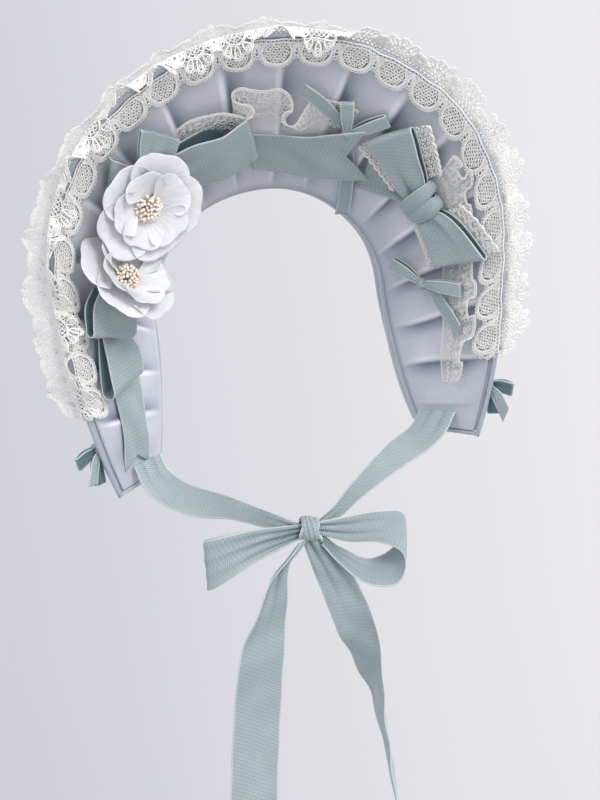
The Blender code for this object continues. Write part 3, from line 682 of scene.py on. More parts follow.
@dataclass(frozen=True)
class SatinFinish:
    """Smooth blue-grey satin with a soft gloss and fine pulls, a painted highlight on fold crests and painted
    shade in the folds.
    """

    kit: ShaderKit
    name: str = "blue_grey_satin"
    light: tuple = colour(206, 209, 216)
    dark: tuple = colour(164, 171, 183)
    deep: tuple = colour(72, 88, 110)
    bright: tuple = colour(244, 243, 248)
    rough: float = 0.32

    def material(self) -> Material:
        """Build the material."""
        made, tree, tone = self.kit.start(self.name, 14.0, 60.0)
        _, weave = self.kit.thread_lines(tree, 0.0005, 0.2)
        cloth = tree.mix(tone.outputs["Tone"], self.dark, self.light)
        # Painted highlight on fold crests, towards the bright colour, then painted shade in the folds,
        # towards the deep colour.
        cloth = tree.tint(tree.attribute("painted_highlight"), 0.9, cloth, self.bright)
        cloth = tree.tint(tree.attribute("shade"), 0.8, cloth, self.deep)
        relief = tree.math("MULTIPLY_ADD", weave.outputs["Height"], 0.04, tone.outputs["Crease"])
        rough = tree.math("MULTIPLY_ADD", tone.outputs["Crease"], 0.12, self.rough - 0.06)
        tree.finish({"Base Color": cloth, "Roughness": rough, "Normal": tree.bump(relief, 0.6, 0.0022),
                     "Sheen Weight": 0.2, "Specular IOR Level": 0.5, "Anisotropic": 0.4})
        return made


@dataclass(frozen=True)
class ThreadFinish:
    """Matte cotton thread, as in lace cords, stitches and stamens."""

    kit: ShaderKit
    name: str = "off_white_lace"
    light: tuple = colour(247, 246, 243)
    dark: tuple = colour(228, 226, 220)
    rough: float = 0.75
    twist: float = 1400.0

    def material(self) -> Material:
        """Build the material."""
        made, tree, tone = self.kit.start(self.name, 60.0, self.twist)
        crease = tone.outputs["Crease"]
        tree.finish({"Base Color": tree.mix(tone.outputs["Tone"], self.dark, self.light),
                     "Roughness": tree.math("MULTIPLY_ADD", crease, 0.15, self.rough - 0.07),
                     "Normal": tree.bump(crease, 0.5, 0.0003), "Sheen Weight": 0.3,
                     "Specular IOR Level": 0.3})
        return made


@dataclass(frozen=True)
class SheerFinish:
    """See-through net or organza: threads over open cells, with veins in organza."""

    kit: ShaderKit
    name: str
    light: tuple
    dark: tuple
    open_share: float
    pitch: float
    rim_width: float
    vein: float = 0.0
    rough: float = 0.6

    def material(self) -> Material:
        """Build the material."""
        made, tree, tone = self.kit.start(self.name, 45.0, 200.0)
        flat, weave = self.kit.thread_lines(tree, self.pitch, 1.0)
        stretched = tree.add("ShaderNodeMapping", {"Vector": flat, "Scale": (30.0, 700.0, 1.0)})
        veins = tree.add("ShaderNodeTexNoise", {"Vector": stretched.outputs[0], "Scale": 1.0,
                                                "Detail": 3.0}).outputs["Fac"]
        border = tree.group(self.kit.border, {"Distance": tree.attribute("rim"), "Width": self.rim_width})
        cover = tree.math("MULTIPLY_ADD", weave.outputs["Height"], -0.25, 1.0 - self.open_share)
        cover = tree.math("MULTIPLY_ADD", veins, self.vein, cover)
        cover = tree.add("ShaderNodeMath", {0: border.outputs["Mask"], 1: 0.5, 2: cover},
                         operation="MULTIPLY_ADD", use_clamp=True).outputs[0]
        relief = tree.math("MULTIPLY_ADD", veins, 1.0 + self.vein, tone.outputs["Crease"])
        tree.finish({"Base Color": tree.mix(tone.outputs["Tone"], self.dark, self.light),
                     "Roughness": tree.math("MULTIPLY_ADD", veins, 0.1, self.rough),
                     "Normal": tree.bump(relief, 0.45, 0.0006), "Alpha": cover, "Sheen Weight": 0.3,
                     "Specular IOR Level": 0.35})
        return made


# Meshes


def link(name: str, data: object) -> Object:
    """Put an object in the scene."""
    made = bpy.data.objects.new(name, data)
    bpy.context.scene.collection.objects.link(made)
    return made


def keep(mesh: Mesh, title: str, values: Array) -> None:
    """Keep a number or a direction for each of a mesh's points, as an attribute."""
    kind, field_name = ("FLOAT", "value") if values.ndim == 1 else ("FLOAT_VECTOR", "vector")
    store = mesh.attributes.new(title, kind, "POINT")
    store.data.foreach_set(field_name, values.ravel().astype(np.float32))


def finish_mesh(name: str, mesh: Mesh, flat: Array, material: Material) -> Object:
    """Give a mesh its flat coordinates, point by point, and its finish, as a smooth piece."""
    layer = mesh.uv_layers.new(name=UV_NAME)
    corners = np.zeros(len(mesh.loops), dtype=np.int32)
    mesh.loops.foreach_get("vertex_index", corners)
    layer.data.foreach_set("uv", flat[corners].ravel())
    mesh.materials.append(material)
    mesh.shade_smooth()
    return link(name, mesh)


def cloth(name: str, grid: Array, wall: float, material: Material, closed_rows: bool = False,
          shade: Optional[Array] = None, painted_highlight: Optional[Array] = None) -> Object:
    """A sheet of cloth through a grid of points.

    Args:
        name: the piece's name.
        grid: rows by columns by three.
        wall: the cloth's thickness.
        material: its finish.
        closed_rows: whether the last row joins the first.
        shade: how deep in shadow each point lies, from 0 to 1.
        painted_highlight: how strongly each point is painted with the highlight of a fold's crest, from 0 to
            1.

    Returns:
        The piece, with its own flat coordinates and the attributes rim, shade and painted_highlight.
    """
    rows, columns = grid.shape[:2]
    index = np.arange(rows * columns).reshape(rows, columns)
    after = np.roll(index, -1, axis=0)
    last = rows if closed_rows else rows - 1
    quads = np.stack([index[:last, :-1], index[:last, 1:], after[:last, 1:], after[:last, :-1]],
                     axis=-1).reshape(-1, 4)
    mesh = bpy.data.meshes.new(name)
    mesh.from_pydata(grid.reshape(-1, 3).tolist(), [], quads.tolist())
    across = run_across(grid)
    piece = finish_mesh(name, mesh, np.stack([run_along(grid), across], axis=-1).reshape(-1, 2), material)
    for title, values in (("rim", np.minimum(across, across[:, -1:] - across)), ("shade", shade),
                          ("painted_highlight", painted_highlight)):
        keep(mesh, title, np.broadcast_to(0.0 if values is None else values, (rows, columns)).ravel())
    thickness = piece.modifiers.new("wall", "SOLIDIFY")
    thickness.thickness = wall
    thickness.offset = 0.0
    return piece


def closed_form(name: str, rings: Array, material: Material, shade: Optional[Array] = None) -> Object:
    """A closed shape through rings of points, with a point at each end."""
    rows, columns = rings.shape[:2]
    index = np.arange(rows * columns).reshape(rows, columns)
    beside = np.roll(index, -1, axis=1)
    faces = np.stack([index[:-1], beside[:-1], beside[1:], index[1:]], axis=-1).reshape(-1, 4).tolist()
    points = rings.reshape(-1, 3).tolist() + [rings[0].mean(0).tolist(), rings[-1].mean(0).tolist()]
    faces += [[rows * columns, beside[0, c], index[0, c]] for c in range(columns)]
    faces += [[rows * columns + 1, index[-1, c], beside[-1, c]] for c in range(columns)]
    mesh = bpy.data.meshes.new(name)
    mesh.from_pydata(points, [], [[int(v) for v in face] for face in faces])
    middle = np.array(points).mean(0)
    first = mesh.polygons[0]
    if (np.array(first.center) - middle) @ np.array(first.normal) < 0:
        mesh.flip_normals()
    flat = np.stack([run_along(rings), run_across(rings)], axis=-1).reshape(-1, 2)
    for title, values in (("rim", np.ones(rows * columns)),
                          ("shade", np.zeros(rows * columns) if shade is None else shade.ravel())):
        keep(mesh, title, np.append(values, [values[0], values[-1]]))
    return finish_mesh(name, mesh, np.vstack([flat, np.zeros((2, 2))]), material)


def turned_motif(name: str, profile: Sequence[tuple[float, float]], sides: int,
                 lying: bool = False) -> Object:
    """A small round shape for copies, as if turned on a lathe.

    Args:
        name: the motif's name.
        profile: the height and radius of each ring, of which the first and the last are single points.
        sides: faces round the shape.
        lying: whether it lies along its own X axis; it stands on its Z axis otherwise.

    Returns:
        The motif, which isn't in the scene.
    """
    points = [(0.0, 0.0, profile[0][0])]
    for height, radius in profile[1:-1]:
        points += [(radius * math.cos(a), radius * math.sin(a), height) for a in circle(sides)]
    points.append((0.0, 0.0, profile[-1][0]))
    faces = [(0, 1 + (i + 1) % sides, 1 + i) for i in range(sides)]
    for low in range(1, len(points) - 1 - sides, sides):
        faces += [(low + i, low + (i + 1) % sides, low + sides + (i + 1) % sides, low + sides + i)
                  for i in range(sides)]
    end = len(points) - 1
    faces += [(end, end - sides + i, end - sides + (i + 1) % sides) for i in range(sides)]
    mesh = bpy.data.meshes.new(name)
    mesh.from_pydata(np.roll(points, 1 if lying else 0, axis=1).tolist(), [], faces)
    mesh.shade_smooth()
    return bpy.data.objects.new(name, mesh)


def flat_area(piece: Object) -> float:
    """Area of one side of a sheet."""
    areas = np.zeros(len(piece.data.polygons))
    piece.data.polygons.foreach_get("area", areas)
    return float(areas.sum())


def dress(piece: Object, nodes: Sequence[str], width: float = 0.0,
          held: Optional[Held] = None) -> None:
    """Fix a piece to the bonnet, in place of its solids.

    A sheet's flat length isn't measured. It is the modelled cloth's own area over its cut width.

    Args:
        piece: the piece.
        nodes: the solids that it stands for.
        width: the width that a sheet is taken to be cut to, in metres.
        held: how the sheet is held, or nothing if it isn't a sheet.
    """
    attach(piece, BODY)
    if nodes:
        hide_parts(*nodes)
    if held is not None:
        length = flat_area(piece) / width
        LOG.info("%s: %.0f mm wide, %.0f mm long by its area", piece.name, width / MILLIMETRE,
                 length / MILLIMETRE)
    else:
        LOG.info("%s: %d faces", piece.name, len(piece.data.polygons))


# Geometry Nodes for threads and for what repeats


def bake(piece: Object) -> Object:
    """Turn a piece's Geometry Nodes result into its plain mesh."""
    layers = bpy.context.evaluated_depsgraph_get()
    mesh = bpy.data.meshes.new_from_object(piece.evaluated_get(layers), depsgraph=layers)
    piece.modifiers.clear()
    old = piece.data
    piece.data = mesh
    bpy.data.meshes.remove(old)
    return piece


def set_inputs(modifier: bpy.types.Modifier, values: dict) -> None:
    """Set a modifier's inputs by their sockets' identifiers."""
    for item in modifier.node_group.interface.items_tree:
        if item.item_type == "SOCKET" and item.in_out == "INPUT" and item.name in values:
            modifier[item.identifier] = values[item.name]


class Thread(NamedTuple):
    """One thread of a lace: a flat path in millimetres, or a path in space in metres."""

    path: Array
    closed: bool
    thick: float


class ThreadMaker:
    """Makes round threads along paths with Geometry Nodes."""

    def __init__(self) -> None:
        """Build the tree once."""
        tree, given, result = new_group(
            "round_threads", "GeometryNodeTree",
            [("Geometry", "NodeSocketGeometry", None), ("Radius", "NodeSocketFloat", 0.0004),
             ("Sides", "NodeSocketInt", 5), ("Finish", "NodeSocketMaterial", None)],
            [("Geometry", "NodeSocketGeometry")])
        curve = tree.add("GeometryNodeMeshToCurve", {"Mesh": given.outputs["Geometry"]})
        thick = tree.add("GeometryNodeInputNamedAttribute", {"Name": "thick"}, data_type="FLOAT")
        sized = tree.add("GeometryNodeSetCurveRadius", {"Curve": curve.outputs["Curve"],
                                                        "Radius": thick.outputs["Attribute"]})
        profile = tree.add("GeometryNodeCurvePrimitiveCircle",
                           {"Resolution": given.outputs["Sides"], "Radius": given.outputs["Radius"]})
        tube = tree.add("GeometryNodeCurveToMesh", {"Curve": sized.outputs["Curve"],
                                                    "Profile Curve": profile.outputs["Curve"],
                                                    "Fill Caps": True})
        if "Scale" in tube.inputs:
            tree.feed(tube.inputs["Scale"], thick.outputs["Attribute"])
        smooth = tree.add("GeometryNodeSetShadeSmooth", {"Geometry": tube.outputs["Mesh"]})
        tree.end(smooth.outputs["Geometry"], given.outputs["Finish"], result)
        self.tree = tree.tree

    def make(self, name: str, threads: Sequence[Thread], radius: float, material: Material,
             sides: int = 4) -> Object:
        """Round threads along paths in space.

        Args:
            name: the piece's name.
            threads: paths in metres.
            radius: the thread's radius where its thickness is 1.
            material: its finish.
            sides: faces round the thread.

        Returns:
            The piece, as a plain mesh.
        """
        points, edges, thick = [], [], []
        total = 0
        for thread in threads:
            count = len(thread.path)
            points.append(thread.path)
            steps = [[total + i, total + i + 1] for i in range(count - 1)]
            edges += steps + ([[total + count - 1, total]] if thread.closed else [])
            thick.append(np.full(count, thread.thick))
            total += count
        mesh = bpy.data.meshes.new(name)
        mesh.from_pydata(np.vstack(points).tolist(), edges, [])
        keep(mesh, "thick", np.concatenate(thick))
        piece = link(name, mesh)
        modifier = piece.modifiers.new("threads", "NODES")
        modifier.node_group = self.tree
        set_inputs(modifier, {"Radius": radius, "Sides": sides, "Finish": material})
        return bake(piece)


class Scatter:
    """Sets copies of a small motif on points with Geometry Nodes."""

    def __init__(self) -> None:
        """Build the tree once."""
        tree, given, result = new_group(
            "set_copies", "GeometryNodeTree",
            [("Geometry", "NodeSocketGeometry", None), ("Motif", "NodeSocketObject", None),
             ("Smallest", "NodeSocketFloat", 0.9), ("Largest", "NodeSocketFloat", 1.1),
             ("Seed", "NodeSocketInt", 3), ("Finish", "NodeSocketMaterial", None)],
            [("Geometry", "NodeSocketGeometry")])
        axes = tree.add("FunctionNodeAxesToRotation", primary_axis="Z", secondary_axis="X")
        for axis, title in (("Primary Axis", "facing"), ("Secondary Axis", "heading")):
            named = tree.add("GeometryNodeInputNamedAttribute", {"Name": title}, data_type="FLOAT_VECTOR")
            tree.feed(axes.inputs[axis], named.outputs["Attribute"])
        sizes = tree.add("FunctionNodeRandomValue", {"Seed": given.outputs["Seed"]}, data_type="FLOAT")
        for name, limit in (("Min", "Smallest"), ("Max", "Largest")):
            socket = next(s for s in sizes.inputs if s.name == name and s.type == "VALUE")
            tree.feed(socket, given.outputs[limit])
        size = next(s for s in sizes.outputs if s.type == "VALUE")
        motif = tree.add("GeometryNodeObjectInfo", {"Object": given.outputs["Motif"]})
        copies = tree.add("GeometryNodeInstanceOnPoints",
                          {"Points": given.outputs["Geometry"], "Instance": motif.outputs["Geometry"],
                           "Rotation": axes.outputs["Rotation"], "Scale": size})
        tree.end(copies.outputs["Instances"], given.outputs["Finish"], result)
        self.tree = tree.tree

    def make(self, name: str, places: Array, headings: Array, facings: Array, motif: Object,
             material: Material, spread: float = 0.1) -> Object:
        """Copies of a motif on points.

        Args:
            name: the piece's name.
            places: the points, in metres.
            headings: where each copy's own X axis points.
            facings: where each copy's own Z axis points.
            motif: the shape that is copied, removed afterwards.
            material: its finish.
            spread: how far sizes differ, as a share.

        Returns:
            The piece, as a plain mesh.
        """
        mesh = bpy.data.meshes.new(name)
        mesh.from_pydata(places.tolist(), [], [])
        keep(mesh, "heading", headings)
        keep(mesh, "facing", facings)
        piece = link(name, mesh)
        modifier = piece.modifiers.new("copies", "NODES")
        modifier.node_group = self.tree
        set_inputs(modifier, {"Motif": motif, "Smallest": 1.0 - spread, "Largest": 1.0 + spread, "Seed": 7,
                              "Finish": material})
        bake(piece)
        shape = motif.data
        bpy.data.objects.remove(motif)
        bpy.data.meshes.remove(shape)
        return piece


# Lace patterns, flat and in millimetres


def drawn(xs: Array, ys: Array, thick: float, closed: bool = False) -> Thread:
    """A flat thread from its points' places along and across the lace."""
    return Thread(np.stack(np.broadcast_arrays(xs, ys), axis=1), closed, thick)


def ring(x: float, y: float, radius: float, thick: float = 0.8, points: int = 9) -> Thread:
    """A round loop."""
    angles = circle(points)
    return drawn(x + radius * np.cos(angles), y + radius * np.sin(angles), thick, True)


def petal(x: float, y: float, angle: float, length: float, width: float, thick: float = 1.0) -> Thread:
    """A pointed loop from its root."""
    turn = circle(12)
    ahead = length * (1.0 - np.cos(turn)) / 2
    aside = width / 2 * np.sin(turn) * (0.75 + 0.25 * np.cos(turn + math.pi))
    c, s = math.cos(math.radians(angle)), math.sin(math.radians(angle))
    return drawn(x + ahead * c - aside * s, y + ahead * s + aside * c, thick, True)


def arc(x: float, y: float, radius: float, start: float, stop: float, thick: float = 1.0,
        shrink: float = 1.0, points: int = 10) -> Thread:
    """Part of a circle, or a scroll where it shrinks."""
    angles = np.radians(np.linspace(start, stop, points))
    radii = radius * np.linspace(1.0, shrink, points)
    return drawn(x + radii * np.cos(angles), y + radii * np.sin(angles), thick)


def heading_threads(cell: float, low: float, high: float) -> list[Thread]:
    """The straight sewn border of a lace: two lines with rings between."""
    half = cell / 2
    xs = np.linspace(-half, half, 9)
    threads = [drawn(xs, y, 1.1) for y in (low, high)]
    count = int(cell / (high - low))
    for x in (np.arange(count) + 0.5) * cell / count - half:
        threads.append(ring(x, (low + high) / 2, (high - low) * 0.42))
    return threads


def honeycomb(inside: Callable[[float, float], bool], reach: Triple, pitch: float,
              radius: float, thick: float) -> list[Thread]:
    """Small loops in a honeycomb wherever a place is inside a shape.

    Args:
        inside: whether a place is in the shape.
        reach: half the width to fill, and its low and high limit.
        pitch: the distance between two loops.
        radius: of a loop.
        thick: of its thread.

    Returns:
        The loops.
    """
    half, low, high = reach
    rings = []
    for row, y in enumerate(np.arange(low, high, pitch * 0.866)):
        for x in np.arange(-half - (row % 2) * pitch / 2, half + pitch, pitch):
            if inside(float(x), float(y)):
                odd = math.sin(12.9 * x + 78.2 * y) * 0.12
                rings.append(ring(x + odd * pitch, y - odd * pitch, radius * (1 + odd), thick, 7))
    return rings


def bell_cell(cell: float) -> list[Thread]:
    """One repeat of the inner lace: a pierced bell with a knobbed rim, and a leaf between bells."""
    threads = heading_threads(cell, 0.0, 3.0)
    threads += honeycomb(lambda x, y: (x / 9.7) ** 2 + ((y - 11.0) / 10.6) ** 2 < 1.0, (12.0, 4.6, 23.0),
                         2.75, 1.22, 1.0)
    angles = np.radians(np.linspace(-50, 230, 30))
    for grow, thick in ((0.0, 1.5), (1.0, 1.1)):
        threads.append(drawn((10.9 + grow) * np.cos(angles), 11.4 + (11.2 + grow) * np.sin(angles), thick))
    for angle in np.radians(np.arange(-30, 211, 13.3)):
        threads.append(ring(13.0 * math.cos(angle), 11.4 + 13.3 * math.sin(angle), 1.05, 1.0, 7))
    edge = cell / 2
    for angle, length, width in ((90, 11.0, 5.0), (66, 8.0, 3.4), (114, 8.0, 3.4)):
        threads.append(petal(edge, 3.2, angle, length, width, 1.2))
        threads.append(petal(edge, 4.0, angle, length * 0.66, width * 0.45, 0.8))
    threads += [ring(edge, 15.4, 1.3, 0.9), ring(edge - 2.6, 3.8, 1.1), ring(edge + 2.6, 3.8, 1.1)]
    return threads


def fan(x: float, y: float, loops: Sequence[tuple[float, float, float, float]]) -> list[Thread]:
    """Loops that spread round one place, each with a ring inside and picots at its tip.

    Args:
        x: the place along the lace.
        y: the place across it.
        loops: the angle, start, reach and width of each loop.

    Returns:
        The threads.
    """
    threads = []
    for angle, start, reach, width in loops:
        c, s = math.cos(math.radians(angle)), math.sin(math.radians(angle))
        length = reach - start
        heart = start + length * 0.62
        threads += [petal(x + c * start, y + s * start, angle, length, width, 1.5),
                    ring(x + c * heart, y + s * heart, width * 0.21, 1.0, 8)]
        for share, aside in ((1.0, 0.0), (0.92, 0.36), (0.92, -0.36), (0.74, 0.56), (0.74, -0.56)):
            ahead, beside = start + length * share + 0.7, width * aside
            threads.append(ring(x + c * ahead - s * beside, y + s * ahead + c * beside, 0.95, 1.0, 6))
    return threads


def crown_cell(cell: float) -> list[Thread]:
    """One repeat of the outer lace: a pierced disc crowned with loops over a border, a small one beside."""
    threads = heading_threads(cell, -2.6, 0.6)
    threads += honeycomb(lambda x, y: y < 6.4 or math.hypot(x, y - 7.2) < 7.4,
                         (cell / 2 - 1.5, 2.4, 14.4), 3.4, 1.5, 1.05)
    threads += [arc(0.0, 7.2, 8.0, -10, 190, 1.5, 1.0, 22), arc(0.0, 7.2, 9.1, -6, 186, 0.9, 1.0, 22)]
    threads += fan(0.0, 7.2, ((90, 9.2, 18.0, 5.4), (60, 9.2, 17.4, 5.2), (120, 9.2, 17.4, 5.2),
                              (30, 9.2, 15.8, 5.0), (150, 9.2, 15.8, 5.0), (2, 9.0, 13.6, 4.2),
                              (178, 9.0, 13.6, 4.2)))
    threads += fan(cell / 2, 6.8, ((90, 0.6, 9.4, 5.0), (42, 0.8, 6.4, 3.2), (138, 0.8, 6.4, 3.2)))
    return threads


def scroll_cell(cell: float, depth: float, index: int) -> list[Thread]:
    """One repeat of an embroidered net: a corded edge over scrolls, rings and leaves."""
    half = cell / 2
    xs = np.linspace(-half, half, 12)
    threads = [drawn(xs, depth - 1.7, 1.5), drawn(xs, depth - 2.9, 0.8)]
    for x in np.arange(-half + 1.3, half, 2.6):
        threads.append(ring(float(x), depth - 0.8, 0.9, 0.9, 6))
    side = 1.0 if index % 2 else -1.0
    threads += [ring(0, depth - 5.2, 1.7, 0.9), ring(0, depth - 5.2, 0.8, 0.7, 6)]
    threads.append(arc(side * 1.2, depth - 9.2, 3.0, 200, 200 + side * 330, 1.1, 0.35, 16))
    threads.append(petal(-side * 3.6, depth - 11.5, 70 + side * 30, 5.5, 2.6, 0.9))
    threads.append(petal(half, depth - 8.6, 90, 4.4, 2.2, 0.9))
    threads.append(ring(half, depth - 11.0, 1.2, 0.8))
    low = depth - 14.5
    while low > max(6.0, depth - 32.0):
        threads.append(petal(side * 2.0, low - 3.0, 90 + side * 35, 5.2, 2.4, 0.8))
        threads.append(arc(half, low - 1.0, 2.4, 0, side * 300, 0.9, 0.4, 12))
        low -= 9.0
        side = -side
    return threads


def trace(cells: int, cell: float, pattern: Callable[[int], list[Thread]],
          surface: Callable[[Array, Array], Array]) -> list[Thread]:
    """Repeat a flat pattern and lay it on a surface.

    Args:
        cells: how many repeats.
        cell: the length of one repeat, in millimetres.
        pattern: gives the threads of the repeat with that number.
        surface: a point in space for a length along and a depth, in millimetres.

    Returns:
        Threads in metres.
    """
    threads = []
    for index in range(cells):
        for thread in pattern(index):
            path = surface((index + 0.5) * cell + thread.path[:, 0], thread.path[:, 1])
            threads.append(Thread(path, thread.closed, thread.thick))
    return threads


def embroider(grid: Array, cells: int, cell: float, depth: float, lift: float) -> list[Thread]:
    """Scrolls over a net frill.

    Args:
        grid: the frill's points.
        cells: how many repeats.
        cell: the length of one repeat, in millimetres.
        depth: the frill's mean depth, in millimetres.
        lift: the height of the threads over the net.

    Returns:
        Threads in metres.
    """
    surface = GridSurface(grid)
    return trace(cells, cell, lambda index: scroll_cell(cell, depth, index),
                 lambda along, deep: surface.at(along / (cell * cells), deep / depth, lift))


# The bonnet's own sub-assemblies


@dataclass(frozen=True)
class Finishes:
    """Every material of the bonnet."""

    satin: Material
    binding: Material
    ribbon: Material
    lace: Material
    tulle: Material
    organza: Material
    stamen: Material
    stem: Material
    stitch: Material


@dataclass
class BrimCloth:
    """The stiffened satin brim: shell, pleated lining, head band and corded edge."""

    finishes: Finishes
    pleat_points: int = 30
    lining_rows: int = 26
    shell_rows: int = 16
    shell_columns: int = 160
    band_folds: float = 3.0
    stitch_length: float = 0.0013
    stitch_radius: float = 0.00022
    band_cut: float = 0.032

    def build(self, scatter: Scatter) -> None:
        """Make and dress every piece of the brim."""
        self.build_shell()
        self.build_lining()
        self.build_band()
        self.build_binding()
        self.build_stitches(scatter)

    def build_shell(self) -> None:
        """The smooth outer skin, with soft pulls towards its edges."""
        around = np.linspace(-1.0, 1.0, self.shell_columns + 1)[None, :]
        out = np.linspace(0.0, 1.0, self.shell_rows)[:, None]
        pulls = 0.00035 * np.sin(around * 61.0 + 5.0 * out) * np.sin(np.pi * out) * np.sin(around * 23.0)
        grid = BRIM.place(around, out, -REST_GAP - SHELL_WALL / 2 - np.abs(pulls))
        piece = cloth("satin_shell", grid, SHELL_WALL, self.finishes.satin)
        dress(piece, ["brim_shell"], SATIN_CUT, Held.STRETCHED)

    def build_lining(self) -> None:
        """Knife pleats from the seat to the front edge, all laid the same way."""
        columns = np.linspace(-1.0, 1.0, 2 * PLEATS_EACH_SIDE * self.pleat_points + 1)[None, :]
        out = np.linspace(LINING_ROWS[0], LINING_ROWS[3], self.lining_rows)[:, None]
        inside = np.clip((1.0 - np.abs(columns)) * 10, 0.0, 1.0)
        wander = 0.004 * np.sin(columns * 37.0) * np.sin(out * 6.0)
        around = columns + (PLEAT_LEAN * np.sin(columns * 3.1) * (out - 0.5) + wander) * inside
        share = (columns * PLEATS_EACH_SIDE + PLEAT_START) % 1.0
        rise = np.clip(share / 0.88, 0.0, 1.0)
        fall = np.clip((1.0 - share) / 0.10, 0.0, 1.0)
        fold = (0.42 * np.sin(rise * np.pi / 2) + 0.58 * rise ** 7) * fall ** 0.8 * inside
        relief = 0.0003 * np.sin(columns * 90.0 + out * 9.0) * np.sin(np.pi * out)
        height = LINING_WALL / 2 + fold * BRIM.crest(around, out) * 1.1 + relief * fold
        live = np.clip(BRIM.crest(around, out) / PLEAT_HEIGHT, 0.0, 1.0) * inside
        # Painted shade in the valley by each pleat's fall, and a painted highlight that rises towards each
        # crest, peaks on its line and is kept off the valleys.
        valley_shade = np.maximum(np.clip(1.0 - share / 0.34, 0.0, 1.0) ** 1.3,
                            np.clip((share - 0.93) / 0.05, 0.0, 1.0))
        uneven = 0.75 + 0.25 * np.sin(columns * 41.0 + out * 5.0)
        crest = (0.62 * share ** 1.6 + 0.9 * np.exp(-((share - 0.880) / 0.026) ** 2)) * (1.0 - valley_shade)
        piece = cloth("pleated_lining", BRIM.place(around, out, height), LINING_WALL, self.finishes.satin,
                      shade=valley_shade * live, painted_highlight=np.clip(crest * live * uneven, 0.0, 1.0))
        dress(piece, ["brim_lining"], SATIN_CUT, Held.FOLDED)

    def build_band(self) -> None:
        """The folded satin band on the seat of the head."""
        seat = BRIM.seat.at(np.linspace(-1.0, 1.0, 141))
        outward = unit(np.cross(np.gradient(seat, axis=0), np.array([0.0, 1.0, 0.0])))
        rows, shade = [], []
        for share in np.linspace(0.0, 1.0, 31):
            fold = abs(math.sin(share * math.pi * self.band_folds)) ** 0.8
            wave = 0.0004 * np.sin(np.linspace(0, 40, len(seat)) + share * 9.0)[:, None]
            rows.append(seat + np.array([0.0, 1.0, 0.0]) * (3 * GAP + BAND_DEPTH * share)
                        - outward * (GAP + BAND_WALL / 2 - 0.0016 + 0.0026 * fold + wave * fold))
            shade.append(np.full(len(seat), (1.0 - fold) * 0.8))
        piece = cloth("folded_head_band", np.array(rows), BAND_WALL * 0.6, self.finishes.satin,
                      shade=np.array(shade))
        dress(piece, ["head_band"], self.band_cut, Held.FOLDED)

    def build_binding(self) -> None:
        """The satin cord along the brim's edges, with the turns of its bias cover."""
        edge = [(-1.0, out) for out in np.linspace(0.02, 0.98, 26)]
        edge += [(share, 1.0) for share in np.linspace(-1.0, 1.0, 321)]
        edge += [(1.0, out) for out in np.linspace(0.98, 0.02, 26)]
        stand_off = BINDING_RADIUS + 2 * GAP
        centre = []
        for share, out in edge:
            past_tip = math.copysign(stand_off, share) if abs(share) == 1.0 else 0.0
            past_edge = stand_off if out == 1.0 else 0.0
            there = BRIM.shift(share, out, past_tip, past_edge)
            centre.append(BRIM.place(*there, (LINING_WALL - SHELL_BACK) / 2))
        centre = np.array(centre)
        upright = BRIM.axes(*np.array(edge).T)[2]
        aside = unit(np.cross(np.gradient(centre, axis=0), upright))
        angles = circle(14)
        turns = np.arange(len(centre))[:, None] * 1.9 - angles[None, :]
        radius = BINDING_RADIUS * (0.96 + 0.05 * np.sin(turns))
        rings = (centre[:, None] + radius[..., None] * (np.cos(angles)[None, :, None] * aside[:, None]
                                                       + np.sin(angles)[None, :, None] * upright[:, None]))
        piece = closed_form("corded_edge", rings, self.finishes.binding)
        dress(piece, ["edge_binding"])

    def build_stitches(self, scatter: Scatter) -> None:
        """Small stitches beside the corded edge, inside and out."""
        half, radius = self.stitch_length / 2, self.stitch_radius
        motif = turned_motif("stitch_motif", ((-half, 0.0), (-half * 0.8, radius * 0.8), (0.0, radius),
                                              (half * 0.8, radius * 0.8), (half, 0.0)), 6, lying=True)
        around = np.linspace(-0.985, 0.985, 300)
        places, headings, facings = [], [], []
        for out, height, side in ((0.955, LINING_WALL + 0.0002, 1.0), (0.965, -SHELL_BACK - 0.0001, -1.0),
                                  (0.045, -SHELL_BACK - 0.0001, -1.0)):
            place = BRIM.place(around, out, height)
            places.append(place)
            headings.append(np.gradient(place, axis=0))
            facings.append(BRIM.axes(around, np.full(around.shape, out))[2] * side)
        piece = scatter.make("edge_stitches", np.vstack(places), np.vstack(headings), np.vstack(facings),
                             motif, self.finishes.stitch, 0.08)
        dress(piece, [])


